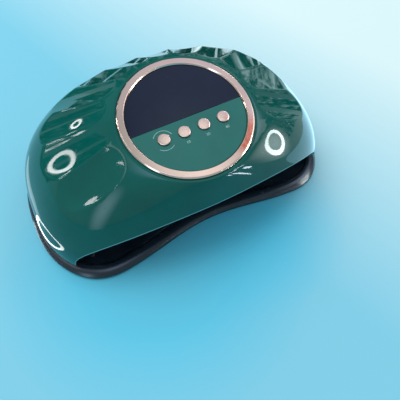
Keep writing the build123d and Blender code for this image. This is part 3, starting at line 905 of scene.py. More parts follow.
def slot_rule():
    """A row of upright slots on each side of the middle, as bars that cut them."""
    rule = Rule("slot_rule")
    number = rule.ask("Count", kind="Int")
    first, pitch, width, height, depth = rule.ask("First", "Pitch", "Width", "Height", "Depth")
    half = width / 2.0
    bar = rule.node(
        "GeometryNodeMeshCylinder", Vertices=16, Side_Segments=1, Fill_Segments=1, Radius=half, Depth=depth
    )
    x, y, z = rule.place()
    side = rule.calc("SIGN", y + half * 0.05)
    slot = rule.moved(bar, x, y + side * (height / 2.0 - half), z)
    rows = []
    for sign in (1.0, -1.0):
        start, step = rule.vector(first * sign, 0.0, depth / 2.0), rule.vector(pitch * sign, 0.0, 0.0)
        rows.append(rule.node("GeometryNodeMeshLine", Count=number, Start_Location=start, Offset=step))
    line = rule.node("GeometryNodeJoinGeometry", Geometry=rows)
    rule.close(rule.node("GeometryNodeInstanceOnPoints", Points=line, Instance=slot))
    return rule.tree


UPWARDS = (0, 0, 1)


def grown(name, tree, material, spots, facing=UPWARDS, sharp=30.0, **sizes):
    """The plain mesh that a rule makes on some spots, all facing one way."""
    mesh = bpy.data.meshes.new(name)
    mesh.from_pydata([tuple(spot) for spot in spots], [], [])
    ways = mesh.attributes.new("facing", "FLOAT_VECTOR", "POINT")
    ways.data.foreach_set("vector", [*facing] * len(spots))
    made = put(name, mesh)
    step = made.modifiers.new("rule", "NODES")
    step.node_group = tree
    values = {**sizes, "Finish": material}
    for item in tree.interface.items_tree:
        if item.in_out == "INPUT" and item.name in values:
            step[item.identifier] = values[item.name]
    flatten(made, sharp)
    return made


# Shape of the housing

def island_place():
    """The island's plane: its own Z stands off the deck."""
    island = settings().island
    return Matrix.Translation((0, island.y, island.z)) @ Matrix.Rotation(island.tilt, 4, "X")


def on_island(x, y, z):
    """Arrays of island coordinates, in the lamp's frame."""
    island = settings().island
    c, s = cos(island.tilt), sin(island.tilt)
    x, y, z = np.broadcast_arrays(x, y, z)
    return np.stack([x, island.y + c * y - s * z, island.z + s * y + c * z], axis=-1)


def rounded_oval(turn, half_width, depth):
    """Points of a rounded outline about the rim's centre, at some angles."""
    size = settings().housing
    across = np.abs(np.cos(turn) / half_width) ** size.squareness
    along = np.abs(np.sin(turn) / depth) ** size.squareness
    reach = (across + along) ** (-1 / size.squareness)
    return reach * np.cos(turn), size.centre_y + reach * np.sin(turn)


def rim_outline(turn, inset=0.0):
    """Points of the rim's outline, drawn in by an inset."""
    size = settings().housing
    depth = np.where(np.sin(turn) > 0, size.back, size.front) - inset
    return rounded_oval(turn, size.half_width - inset, depth)


def plain_dome(turn, height, inset=0.0):
    """The dome without facets: height 0 is the deck's edge and 1 is the rim."""
    size = settings().housing
    turn, height = np.broadcast_arrays(turn, height)
    x, y = rim_outline(turn, inset)
    foot = np.stack([x, y, np.full_like(x, size.rim_z)], axis=-1)
    radius = size.deck_radius - inset / 2
    top = on_island(radius * np.cos(turn), radius * np.sin(turn), -inset)
    knee = foot.copy()
    knee[..., 2] = top[..., 2] - size.shoulder * (top[..., 2] - size.rim_z)
    end = np.where(np.sin(turn) > 0, size.back_fullness, size.front_fullness)
    weight = size.side_fullness + (end - size.side_fullness) * np.sin(turn) ** 2
    low, high = height**2, (1 - height) ** 2
    mid = 2 * weight * height * (1 - height)
    total = (low + mid + high)[..., None]
    return (top * high[..., None] + knee * mid[..., None] + foot * low[..., None]) / total


def unit(vectors):
    """Vectors at length one."""
    return vectors / np.linalg.norm(vectors, axis=-1, keepdims=True)


NEARBY = 0.01


def dome_normal(turn, height, inset=0.0):
    """The plain dome's outward normal, from points close by."""
    around = plain_dome(turn + NEARBY, height, inset) - plain_dome(turn - NEARBY, height, inset)
    down = plain_dome(turn, height + NEARBY, inset) - plain_dome(turn, height - NEARBY, inset)
    return unit(np.cross(down, around))


FACET_TURNS = tuple(90 + side * turn for turn in (9.5, 29.0, 48.0, 66.0, 84.0, 104.0) for side in (1, -1))


def facet_cutters():
    """Each facet's scooping cylinder: a point of its axis and its direction."""
    size = settings().housing
    cutters = []
    for turn in FACET_TURNS:
        here, step = np.array(radians(turn)), 2 * NEARBY
        middle = plain_dome(here, size.facet_place)
        up = unit(plain_dome(here, size.facet_place - step) - plain_dome(here, size.facet_place + step))
        side = unit(plain_dome(here + step, size.facet_place) - plain_dome(here - step, size.facet_place))
        outward = unit(np.cross(side, up))
        outward = outward if outward[2] > 0 else -outward
        cutters.append((middle + outward * (size.facet_radius - size.facet_depth), up))
    return cutters


def soft_maximum(a, b, softness):
    """The larger of two depths, with the crease between them rounded."""
    near = np.maximum(softness - np.abs(a - b), 0) / softness
    return np.maximum(a, b) + near**2 * softness / 4


def faceted_dome(turn, height, inset=0.0):
    """The dome with its scooped facets."""
    size = settings().housing
    point = plain_dome(turn, height, inset)
    inward = -dome_normal(turn, height, inset)
    depth = np.zeros(point.shape[:-1])
    for axis, up in facet_cutters():
        reach = size.facet_radius + inset
        away = point - axis
        along = away @ up
        away = away - along[..., None] * up
        heading = inward - (inward @ up)[..., None] * up
        a = np.einsum("...i,...i", heading, heading)
        b = np.einsum("...i,...i", away, heading)
        c = np.einsum("...i,...i", away, away) - reach**2
        inside = b**2 - a * c
        cut = (-b + np.sqrt(np.maximum(inside, 0))) / a
        usable = (inside > 0) & (b > 0) & (np.abs(along) < size.facet_radius)
        depth = soft_maximum(depth, np.where(usable, cut, -1.0), size.facet_edge)
    return point + inward * depth[..., None]


# No column meets the opening higher than this share of the dome
HIGHEST_OPENING = 0.3


def arch_height_share(turn, inset=0.0):
    """How far down the dome each column goes before it meets the hand opening."""
    size = settings().housing

    def inside(height):
        point = faceted_dome(turn, height, inset)
        rise = (point[..., 2] - size.rim_z) / size.arch_height
        return (point[..., 0] / size.arch_half_width) ** 2 + rise**2 < 1

    front = (np.sin(turn) < 0) & (np.abs(rim_outline(turn, inset)[0]) < size.arch_half_width)
    high = halved(np.full_like(turn, HIGHEST_OPENING), np.ones_like(turn), inside)
    return np.where(front, high, 1.0)


def housing_columns(back=300, front=148):
    """The angles of the housing's columns, closer together at the opening's corners."""
    turns = np.linspace(-pi / 2, 0, 20001)
    right = turns[np.argmax(rim_outline(turns)[0] > settings().housing.arch_half_width)]
    left = -pi - right
    behind = np.linspace(right, left + 2 * pi, back + 1)[:-1]
    spread = -np.cos(np.linspace(0, pi, front + 1))[:-1]
    return np.concatenate([behind, (left + right) / 2 + (right - left) / 2 * spread + 2 * pi])


def short_of(turns, end, distance, inset=0.0):
    """Each column's last point on the dome, and the height that is a small distance before it."""
    last = faceted_dome(turns, end, inset)
    before = faceted_dome(turns, end - NEARBY, inset)
    return last, end - NEARBY * distance / np.linalg.norm(before - last, axis=-1)


def toward(start, end, distance):
    """Points a little way from one row towards another."""
    return start + unit(end - start) * distance


# Pieces

def settle(made, body, slot, *nodes):
    """Let a piece ride on its body and stand for its CAD nodes; its slot is not used."""
    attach(made, body)
    if nodes:
        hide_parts(*nodes)


OUTER_ROWS, INNER_ROWS = 116, 36


class NAILLAMP_OT_housing(Operator):
    """Make the emerald housing with its facets, lip, deck, vents and inlet hole."""

    bl_idname = "nail_lamp.housing"
    bl_label = "Housing"

    def execute(self, context):
        size, island = settings().housing, settings().island
        turns, wall = housing_columns(), size.wall

        def deck(radius, z):
            return on_island(radius * np.cos(turns), radius * np.sin(turns), z)

        end = arch_height_share(turns)
        arched = end < 1
        soft = np.where(arched, size.lip_round, size.rim_round)
        outer, outer_last = short_of(turns, end, soft)
        inner, inner_last = short_of(turns, arch_height_share(turns, wall), soft, wall)
        soft = soft[:, None]
        first = size.edge_share
        rows = bend(
            deck(size.deck_radius - size.edge_round, 0), faceted_dome(turns, 0 * turns),
            faceted_dome(turns, first + 0 * turns),
        )
        steps = np.linspace(0, 1, OUTER_ROWS + 1)[1:]
        rows += [faceted_dome(turns, first + (outer_last - first) * s) for s in steps]
        lip_start = len(rows)
        rows += bend(rows[-1], outer, toward(outer, inner, soft))[1:]
        rows += bend(toward(inner, outer, soft), inner, faceted_dome(turns, inner_last, wall))
        rows += [faceted_dome(turns, inner_last * s, wall) for s in np.linspace(1, 0, INNER_ROWS + 1)[1:]]
        ledge = island.panel_top - island.panel_thickness
        hole, groove = island.ring_inner + island.fit_gap, island.ring_outer + island.seam
        rows += [deck(radius, z) for radius, z in (
            (island.opening, -wall), (island.opening, ledge), (hole, ledge), (hole, -island.ring_seat),
            (groove, -island.ring_seat), (groove, -island.seam_edge), (groove + island.seam_edge, 0),
        )]
        made = from_rows("housing", rows, finish(emerald_lacquer), 38.0, ring=True)
        # Painted highlight: the rows round the lip's rounded edge, where the opening is, take the pale lip
        # colour
        lip = np.zeros((len(rows), len(turns)))
        lip[lip_start - 1:lip_start + 4] = arched
        made.data.attributes.new(LIP_HIGHLIGHT, "FLOAT", "POINT").data.foreach_set("value", lip.ravel())
        carve(made, [vent_cutters(), *inlet_cutters()], sharp=38.0)
        settle(made, "head", "shell_green", "top_shell")
        return {"FINISHED"}


def inlet_place(y):
    """A plane across the inlet's axis; its own Z points out of the back."""
    return Matrix(((-1, 0, 0, 0), (0, 0, 1, y), (0, 1, 0, settings().inlet.z), (0, 0, 0, 1)))


def vent_cutters():
    """The bars that cut the upright vents on both sides of the inlet."""
    inlet = settings().inlet
    made = grown(
        "vent_bars", slot_rule(), finish(emerald_lacquer), [(0, 0, 0)], Count=inlet.vent_count,
        First=inlet.vent_first, Pitch=inlet.vent_pitch, Width=inlet.vent_width, Height=inlet.vent_height,
        Depth=2 * inlet.vent_height,
    )
    made.data.transform(inlet_place(inlet.vent_y))
    return made


def round_bar(radius, low, high, place):
    """A round bar for cutting a hole."""
    bar = from_rows("bar", [circle(radius, z) for z in (low, high)], finish(emerald_lacquer))
    bar.data.transform(place)
    return bar


def inlet_cutters():
    """Cutters for the recess of the inlet's flange and the hole for its barrel."""
    inlet = settings().inlet
    place = inlet_place(inlet.floor_y)
    sizes = ((inlet.flange_radius, 0), (inlet.barrel_radius, -inlet.barrel_depth))
    return [round_bar(radius, low, inlet.cut_reach, place) for radius, low in sizes]


class NAILLAMP_OT_ring(Operator):
    """Make the rose-gold bezel ring."""

    bl_idname = "nail_lamp.ring"
    bl_label = "Bezel ring"

    def execute(self, context):
        island = settings().island
        inner, outer = island.ring_inner, island.ring_outer
        rise, bevel = island.ring_rise, island.ring_bevel
        profile = [
            (inner, -island.ring_seat),
            (inner, island.panel_top + island.ring_reveal),
            (inner + island.ring_slope, rise),
            (outer - bevel, rise),
            (outer, rise - bevel),
            (outer, -island.ring_seat),
        ]
        profile = rounded(profile, 0.00025, rest=0.00006)
        made = turned("bezel_ring_polished", profile, finish(rose_chrome), island_place())
        settle(made, "head", "rose_chrome", "bezel_ring")
        return {"FINISHED"}


def half_disc(front, holes=()):
    """The outline of the window or the panel, drawn in by an inset."""
    island = settings().island
    side = -1 if front else 1

    def outline(inset):
        radius = island.ring_inner - island.fit_gap - inset
        start = np.arcsin((island.divider_y + side * (island.fit_gap / 2 + inset)) / radius)
        ends = (pi - start, 2 * pi + start) if front else (start, pi - start)
        loops = [[(radius * cos(t), radius * sin(t)) for t in np.linspace(*ends, 120)]]
        for x, y, r in holes:
            loops.append([(x + dx, y - dy) for dx, dy, _ in circle(r + inset)])
        return loops

    return outline


def lay_in_ring(name, outline, material, bevel, slot, node):
    """The window or the panel: a plate that lies inside the ring."""
    island = settings().island
    top = island.panel_top
    made = plate(name, outline, top - island.panel_thickness, top, material, bevel)
    made.data.transform(island_place())
    settle(made, "head", slot, node)


def button_places():
    """The buttons' places on the island."""
    size = settings().buttons
    return [(x, size.y) for x in evenly(4, size.pitch).tolist()]


class NAILLAMP_OT_window(Operator):
    """Make the smoked window over the display."""

    bl_idname = "nail_lamp.window"
    bl_label = "Display window"

    def execute(self, context):
        material = finish(smoked_window)
        lay_in_ring("window", half_disc(False), material, 0.00025, "window_smoke", "display_window")
        return {"FINISHED"}


class NAILLAMP_OT_panel(Operator):
    """Make the green control panel with its button holes."""

    bl_idname = "nail_lamp.panel"
    bl_label = "Control panel"

    def execute(self, context):
        size = settings().buttons
        outline = half_disc(True, [(x, y, size.radius + size.gap) for x, y in button_places()])
        lay_in_ring("panel", outline, finish(panel_green), 0.0002, "panel_green", "control_panel")
        return {"FINISHED"}


class NAILLAMP_OT_buttons(Operator):
    """Make the four button caps."""

    bl_idname = "nail_lamp.buttons"
    bl_label = "Buttons"

    def execute(self, context):
        island, size = settings().island, settings().buttons
        top = island.panel_top + size.rise
        ledge = island.panel_top - island.panel_thickness - size.slack
        dome = []
        for r in size.radius * np.linspace(0.04, 0.91, 12):
            dome.append((r, top - size.crown + (size.crown**2 - r**2) ** 0.5))
        edge = [dome[-1], (size.radius, dome[-1][1] - size.slack), (size.radius, ledge)]
        profile = dome + rounded(edge, 0.00028, 5)[6:11] + [
            (size.radius, ledge),
            (size.flange, ledge),
            (size.flange, ledge - size.flange_height),
            (size.stem, ledge - size.flange_height),
            (size.stem, size.stem_end),
        ]
        for k, (x, y) in enumerate(button_places(), 1):
            place = island_place() @ Matrix.Translation((x, y, 0))
            made = turned_solid(f"button_{k}_cap", profile, finish(rose_button), place)
            settle(made, f"button_{k}", "rose_chrome", f"button_cap_{k}")
        return {"FINISHED"}


# Half the thickness of the print, and each arc's radius, start and stop
INK = 0.00001
ARCS = ((0.0072, 18, 148), (0.0079, 226, 310))


class NAILLAMP_OT_marks(Operator):
    """Print the plain numbers and the arcs beside the buttons."""

    bl_idname = "nail_lamp.marks"
    bl_label = "Printed marks"

    def execute(self, context):
        size = settings().buttons
        top = settings().island.panel_top + INK
        first, *others = button_places()
        parts = [
            printed_number(number, size.mark_height, (x + size.mark_x, y + size.mark_y, top))
            for (x, y), number in zip(others, ("10", "30", "60"))
        ]
        for radius, start, stop in ARCS:
            parts.append(printed_arc(*first, radius, size.arc_width, start, stop, top))
        made = joined("printed_marks", parts, finish(stock, "print_silver"))
        made.data.transform(island_place())
        settle(made, "head", "plunger_white")
        return {"FINISHED"}


def printed_number(number, height, place):
    """A thin printed number, as a closed mesh."""
    curve = bpy.data.curves.new("number", "FONT")
    curve.body = number
    curve.size = height / 0.7
    curve.align_x = curve.align_y = "CENTER"
    curve.extrude = INK
    curve.resolution_u = 3
    mesh = mesh_of("number", curve)
    mesh.transform(Matrix.Translation(place))
    return mesh


def printed_arc(x, y, radius, width, start, stop, z):
    """A thin printed arc, as a closed mesh; it starts and stops at an angle in degrees."""
    turns = np.linspace(radians(start), radians(stop), 33)
    sides = ((radius + width / 2, turns), (radius - width / 2, turns[::-1]))
    loop = [(x + reach * cos(t), y + reach * sin(t)) for reach, side in sides for t in side]
    n = len(loop)
    points = [(px, py, z + dz) for dz in (-INK, INK) for px, py in loop]
    faces = [(j, (j + 1) % n, n + (j + 1) % n, n + j) for j in range(n)]
    for j in range(len(turns) - 1):
        faces.append((n + j, n + j + 1, 2 * n - 2 - j, 2 * n - 1 - j))
        faces.append((j + 1, j, n - 1 - j, n - 2 - j))
    mesh = bpy.data.meshes.new("arc")
    mesh.from_pydata(points, [], faces)
    return mesh


def joined(name, meshes, material):
    """One object from several loose meshes."""
    points, faces = [], []
    for mesh in meshes:
        start = len(points)
        points += [tuple(v.co) for v in mesh.vertices]
        faces += [[start + v for v in p.vertices] for p in mesh.polygons]
    return consistent(new_piece(name, points, faces, material))


# Tray and frame

# Turns at which a point stands on each rounded front corner
CORNER_TURNS = (68, 46, 24)


def tray_outline(inset, amount=320):
    """The tray's outline, drawn in by an inset."""
    tray = settings().tray
    points = []
    for x in np.linspace(-tray.lobe_x, tray.lobe_x, 13):
        reach = sin(pi * x / (2 * tray.lobe_x)) ** 2
        points.append((x, tray.middle_y + (tray.lobe_y - tray.middle_y) * reach + inset))
    wide, deep = tray.half_width - tray.lobe_x - inset, tray.corner_y - tray.lobe_y - inset
    turns = [radians(turn) for turn in CORNER_TURNS]
    corner = [(tray.lobe_x + wide * cos(t), tray.corner_y - deep * sin(t)) for t in turns]
    sides = (tray.half_width - inset, tray.back - inset)
    back = [rounded_oval(turn, *sides) for turn in np.linspace(0, pi, 17)]
    return closed_curve(points + corner + back + [(-x, y) for x, y in reversed(corner)], amount)


def tray_rows(steps):
    """Rows of the tray's outline for (inset, height) steps."""
    return [[(x, y, z) for x, y in tray_outline(inset)] for inset, z in steps]


def corners(x, y):
    """The same place on both sides, for each y: a list of (x, y)."""
    return [(side * x, end) for end in y for side in (1, -1)]


# Places seen from above, from the middle of the lamp
FOOT_PLACES = corners(0.088, (-0.066, 0.062))
MAGNET_PLACES = corners(0.112, (-0.008,)) + corners(0.026, (0.075,))
FRAME_SCREW_PLACES = corners(0.112, (-0.036, 0.025)) + corners(0.056, (0.072,))


JOIN_STEP = 0.0004


def land_outline():
    """The raised U that carries the lamp head, inside the tray's crest and round the tunnel's foot."""
    tray, tunnel = settings().tray, settings().tunnel
    front, wide, corner = tray.frame_front, tunnel.half_width, tunnel.corner
    line = [(x, y) for x, y in tray_outline(tray.land_inset, 960) if y > front + JOIN_STEP]
    start = int(np.argmin([x if y < 0 else 0 for x, y in line]))
    outer = line[start + 1:] + line[:start + 1]
    if outer[0][0] < 0:
        outer = outer[::-1]
    turns = np.linspace(0, pi / 2, 13)
    right = [(wide - corner + corner * cos(t), tunnel.back - corner + corner * sin(t)) for t in turns]
    loop = [(outer[0][0], front), *outer, (outer[-1][0], front), (-wide, front)]
    return loop + [(-x, y) for x, y in right] + right[::-1] + [(wide, front)]


class NAILLAMP_OT_tray(Operator):
    """Make the glossy tray with its crest, its dish and the seat for the lamp head."""

    bl_idname = "nail_lamp.tray"
    bl_label = "Tray"

    def execute(self, context):
        tray = settings().tray
        low, top = tray.low, tray.top
        crest = top - 0.00001
        edge = [(0.0005, low), (0.00022, low + 0.0001), (0.00006, low + 0.00028), (0, low + 0.0005)]
        edge += [(0, tray.edge - 0.0004)]
        slope = [(0, tray.edge), (0.002, 0.0054), (0.0048, 0.0066), (0.0082, crest), (0.00872, crest)]
        dish = [(0.0091, 0.0067), (0.0104, 0.0054), (0.0134, 0.004), (0.018, tray.floor)]
        rows = tray_rows(edge + smooth_path(slope, 22) + smooth_path(dish, 20))
        made = from_rows("tray_dished", rows, finish(tray_black), 50.0)
        outline = land_outline()
        walls = [[(x, y, z) for x, y in outline] for z in (tray.floor - 0.001, top)]
        carve(made, [from_rows("land", walls, finish(tray_black))], "UNION")
        pockets = (
            (FOOT_PLACES, tray.foot_radius, 0, tray.foot_height),
            (MAGNET_PLACES, tray.magnet_radius, top - tray.magnet_cover - tray.magnet_height, top + 0.001),
        )
        carve(made, [
            round_bar(radius + tray.pocket_gap, bottom, ceiling, Matrix.Translation((x, y, 0)))
            for places, radius, bottom, ceiling in pockets for x, y in places
        ], sharp=50.0)
        settle(made, "base", "tray_black", "base_tray")
        return {"FINISHED"}


class NAILLAMP_OT_feet(Operator):
    """Make the four grooved rubber feet."""

    bl_idname = "nail_lamp.feet"
    bl_label = "Feet"

    def execute(self, context):
        tray = settings().tray
        made = grown(
            "feet_grooved", pad_rule(), finish(stock, "foot_rubber"), [(x, y, 0) for x, y in FOOT_PLACES],
            Radius=tray.foot_radius, Height=tray.foot_height, Chamfer=tray.chamfer, Groove=0.0004, Rings=4,
        )
        settle(made, "base", "foot_rubber", "rubber_feet")
        return {"FINISHED"}


class NAILLAMP_OT_magnets(Operator):
    """Make the magnets of the tray and of the frame."""

    bl_idname = "nail_lamp.magnets"
    bl_label = "Magnets"

    def execute(self, context):
        tray = settings().tray
        tree = pad_rule()
        for name, z, body, node in (
            ("magnets_low", tray.top - tray.magnet_cover - tray.magnet_height, "base", "tray_magnets"),
            ("magnets_high", tray.top + tray.magnet_cover, "head", "frame_magnets"),
        ):
            made = grown(
                name, tree, finish(stock, "nickel_plate"), [(x, y, z) for x, y in MAGNET_PLACES],
                Radius=tray.magnet_radius, Height=tray.magnet_height, Chamfer=tray.chamfer, Groove=0.0, Rings=1,
            )
            settle(made, body, "magnet_nickel", node)
        return {"FINISHED"}


class NAILLAMP_OT_screws(Operator):
    """Make the screws of the frame and of the circuit board."""

    bl_idname = "nail_lamp.screws"
    bl_label = "Screws"

    def execute(self, context):
        size = settings().screws
        place, ring = island_place(), size.board_circle
        diagonals = [radians(turn) for turn in (45, 135, 225, 315)]
        on_board = [place @ Vector((ring * cos(a), ring * sin(a), size.board_seat)) for a in diagonals]
        in_frame = [(x, y, size.frame_seat) for x, y in FRAME_SCREW_PLACES]
        tree = screw_rule()
        off_board = place.to_3x3() @ Vector(UPWARDS)
        for kind, spots, way in (("frame", in_frame, UPWARDS), ("board", on_board, off_board)):
            head, rise, shank, seat, tip = (
                getattr(size, f"{kind}_{part}") for part in ("head", "rise", "shank", "seat", "tip")
            )
            made = grown(
                f"{kind}_screw_set", tree, finish(zinc_steel), spots, way, Head=head, Rise=rise, Shank=shank,
                Reach=tip - seat,
            )
            settle(made, "head", "screw_steel", f"{kind}_screws")
        return {"FINISHED"}


# Pieces that keep the CAD's shape, smoothed

def smoothed(name, node, material, slot):
    """A merged copy of one of the head's CAD nodes, smooth but for its sharp edges."""
    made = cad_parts[node].copy()
    made.data = made.data.copy()
    made.name = made.data.name = name
    made.parent = None
    bpy.context.scene.collection.objects.link(made)
    work = bmesh.new()
    work.from_mesh(made.data)
    bmesh.ops.remove_doubles(work, verts=work.verts, dist=1e-6)
    bmesh.ops.dissolve_degenerate(work, edges=work.edges, dist=1e-7)
    work.to_mesh(made.data)
    work.free()
    cover(made.data, material, 30)
    settle(made, "head", slot, node)
    return made


def cover(mesh, material, sharp):
    """Give a mesh one finish, smooth but for its sharp edges."""
    mesh.materials.clear()
    mesh.materials.append(material)
    mesh.shade_smooth()
    mesh.set_sharp_from_angle(angle=radians(sharp))


# How level an upright face's normal may be, and how alike two normals along the rim or of one facet are
UPRIGHT, ALONG_RIM, SAME_FACET = 0.25, 0.96, 0.87


def follow_rim(mesh):
    """Even out upright faces' normals: the rim's own where they follow it, else those of each edge line."""
    size = settings().housing
    power = size.squareness
    x, y, _ = np.array([vertex.co for vertex in mesh.vertices]).T
    y = y - size.centre_y
    depth = np.where(y > 0, size.back, size.front)

    def outside(inset):
        return np.abs(x / (size.half_width - inset)) ** power + np.abs(y / (depth - inset)) ** power > 1

    inset = halved(np.full(len(x), -0.01), np.full(len(x), 0.05), outside)
    across = np.sign(x) * np.abs(x / (size.half_width - inset)) ** (power - 1) / (size.half_width - inset)
    along = np.sign(y) * np.abs(y / (depth - inset)) ** (power - 1) / (depth - inset)
    normals = [corner.vector.copy() for corner in mesh.corner_normals]
    upright = [face for face in mesh.polygons if abs(face.normal.z) < UPRIGHT]
    lines = {}
    for face in upright:
        flat = tuple(round(part, 2) for part in face.normal)
        for vertex in face.vertices:
            lines.setdefault(mesh.vertices[vertex].co.to_2d().freeze(), set()).add(flat)
    for face in upright:
        for k in face.loop_indices:
            vertex = mesh.loops[k].vertex_index
            way = Vector((across[vertex], along[vertex], 0)).normalized()
            side = way.dot(face.normal)
            if abs(side) > ALONG_RIM:
                normals[k] = way if side > 0 else -way
            else:
                here = [Vector(flat) for flat in lines[mesh.vertices[vertex].co.to_2d().freeze()]]
                near = [flat for flat in here if flat.dot(face.normal) > SAME_FACET]
                normals[k] = sum(near, Vector()).normalized()
    mesh.normals_split_custom_set(normals)


class NAILLAMP_OT_bottom_frame(Operator):
    """Make the black frame between the tray and the housing."""

    bl_idname = "nail_lamp.bottom_frame"
    bl_label = "Bottom frame"

    def execute(self, context):
        made = smoothed("frame_u", "bottom_frame", finish(tray_black), "tray_black")
        follow_rim(made.data)
        return {"FINISHED"}


class NAILLAMP_OT_tunnel(Operator):
    """Make the silvered tunnel and the eyes in its roof."""

    bl_idname = "nail_lamp.tunnel"
    bl_label = "Tunnel"

    def execute(self, context):
        smoothed("tunnel_silvered", "reflector_liner", finish(liner_silver), "liner_silver")
        smoothed("sensor_eyes", "motion_sensors", finish(stock, "sensor_black"), "sensor_black")
        return {"FINISHED"}


# Columns and their pitch, lines and their pitch
BEADS = {
    "top": (5, 0.023, 3, 0.026),
    "left": (4, 0.018, 2, 0.016),
    "right": (4, 0.018, 2, 0.016),
    "rear": (5, 0.018, 1, 0.0),
}
TOP_BOARD_Y = -0.008
SIDE_BOARD_Y = -0.022


def board_place(name):
    """The plane of a lamp board on the tunnel, its own Z away from the tunnel."""
    size = settings().tunnel
    foot, roof = settings().housing.rim_z, size.roof + size.wall
    if name == "top":
        return Matrix.Translation((0, TOP_BOARD_Y, roof))
    if name == "rear":
        along = Vector((-1, 0, 0))
        ends = ((size.back, foot), (size.top_back, roof))
        low, high = (Vector((0, back + size.wall, z)) for back, z in ends)
    else:
        side = 1 if name == "right" else -1
        along = Vector((0, side, 0))
        ends = ((size.half_width, foot), (size.top_half_width, roof))
        low, high = (Vector((side * (wide + size.wall), SIDE_BOARD_Y, z)) for wide, z in ends)
    upward = (high - low).normalized()
    axes = Matrix((along, upward, along.cross(upward))).transposed()
    return Matrix.Translation((low + high) / 2) @ axes.to_4x4()


class NAILLAMP_OT_beads(Operator):
    """Make the lamp beads that shine into the tunnel."""

    bl_idname = "nail_lamp.beads"
    bl_label = "Lamp beads"

    def execute(self, context):
        size = settings().tunnel
        tree = peg_rule()
        neck = size.wall + size.bead_reach - size.bead_nose
        for name, (columns, pitch, lines, line_pitch) in BEADS.items():
            place = board_place(name)
            spots = [
                place @ Vector((x, y, -neck))
                for x in evenly(columns, pitch) for y in evenly(lines, line_pitch)
            ]
            made = grown(
                f"beads_{name}", tree, finish(bead_resin), spots, place.to_3x3() @ Vector(UPWARDS),
                Radius=size.bead_radius, Nose=size.bead_nose, Neck=neck,
            )
            settle(made, "head", "bead_clear", f"led_beads_{name}")
        return {"FINISHED"}


# The lead's route as in the CAD, first in the lamp's frame and then on the island
LEAD_ROUTE = ((0, 0.0696, 0.027), (0, 0.062, 0.027), (0, 0.059, 0.056), (0, 0.043, 0.073))
LEAD_END_ON_ISLAND = ((0, 0.036, -0.0238), (0, 0.036, -0.0118))


def inner_lead():
    """The lead from the inlet to the control board, on one smooth line."""
    curve = bpy.data.curves.new("inner_lead", "CURVE")
    curve.dimensions = "3D"
    curve.bevel_depth = settings().inlet.lead_radius
    curve.bevel_resolution = 5
    curve.resolution_u = 16
    curve.use_fill_caps = True
    route = [*LEAD_ROUTE, *(island_place() @ Vector(point) for point in LEAD_END_ON_ISLAND)]
    line = curve.splines.new("NURBS")
    line.points.add(len(route) - 1)
    for point, spot in zip(line.points, route):
        point.co = (*spot, 1)
    line.order_u = 3
    line.use_endpoint_u = True
    lead = consistent(put("inner_lead", mesh_of("inner_lead", curve)))
    cover(lead.data, finish(stock, "lead_black"), 50)
    return lead


class NAILLAMP_OT_inlet(Operator):
    """Make the inlet with its pin and nut, and the inner lead."""

    bl_idname = "nail_lamp.inlet"
    bl_label = "Inlet"

    def execute(self, context):
        smoothed("inlet_body", "dc_socket", finish(stock, "socket_black"), "socket_black")
        smoothed("inlet_pin", "dc_socket_pin", finish(stock, "contact_brass"), "contact_brass")
        smoothed("inlet_nut", "dc_socket_nut", finish(stock, "nickel_plate"), "magnet_nickel")
        settle(inner_lead(), "head", "lead_black", "power_lead")
        return {"FINISHED"}


class NAILLAMP_OT_inner_finishes(Operator):
    """Give the pieces that keep their CAD shape their finishes."""

    bl_idname = "nail_lamp.inner_finishes"
    bl_label = "Inner finishes"

    def execute(self, context):
        looks = {
            "tact_switches": (stock, "switch_black"),
            "control_board": (solder_mask, "board_green"),
            "display_module": (stock, "module_black"),
            "display_digits": (stock, "display_red"),
            **{f"switch_plunger_{k}": (stock, "plunger_white") for k in range(1, 5)},
            **{f"led_board_{name}": (solder_mask, "board_white") for name in BEADS},
        }
        for name, look in looks.items():
            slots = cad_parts[name].data.materials
            slots.clear()
            slots.append(finish(*look))
        return {"FINISHED"}


# Stage

def table_finish():
    """A pale table top, lighter towards its far right corner, with painted shade: bluer close to the lamp and
    deepest blue where the lamp's shadow falls.
    """
    colours = settings().colours
    made = Finish("pale_table", 0.3)
    light = made.spread(made.measure("DOT_PRODUCT", (1.0, 0.3, 0.0)), 0, 1, 0.0, 0.29)
    tone = made.mix(light, tuple(colours.table), tuple(colours.table_far))
    # Painted shade: bluer round the lamp, and deeper still in the lamp's shadow
    for centre, start, stop, close in (
        ((-0.05, -0.08, 0.0), 0.07, 0.13, colours.table_near_shade),
        ((0.03, -0.09, 0.0), 0.02, 0.085, colours.table_shade),
    ):
        away = made.spread(made.measure("DISTANCE", centre), 0, 1, start, stop)
        tone = made.mix(away, tuple(close), tone)
    made.paint(made.mix(made.spread(made.noise(2.0, detail=2), 0, 0.04), tone, (0.9, 0.95, 1.0)))
    made.set(Specular_IOR_Level=0.0)
    return made.material


MIDDLE = Vector((0, -0.02, 0.06))


def soft_box(name, way, distance, size, radiance, glossy=True):
    """A studio light in a direction from the lamp; its radiance is how bright its reflection looks."""
    heading = Vector(way).normalized()
    data = bpy.data.lights.new(name, "AREA")
    data.shape = "ELLIPSE" if max(size) < 0.5 else "RECTANGLE"
    data.size, data.size_y = size
    data.energy = radiance * pi * size[0] * size[1] * (pi / 4 if data.shape == "ELLIPSE" else 1)
    made = put(name, data)
    made.location = MIDDLE + heading * distance
    made.rotation_mode = "QUATERNION"
    made.rotation_quaternion = heading.to_track_quat("Z", "Y")
    made.visible_glossy = glossy


def only_reflected(made):
    """Keep a studio aid out of every view but the reflections in the lamp."""
    made.visible_camera = made.visible_diffuse = made.visible_shadow = made.visible_transmission = False


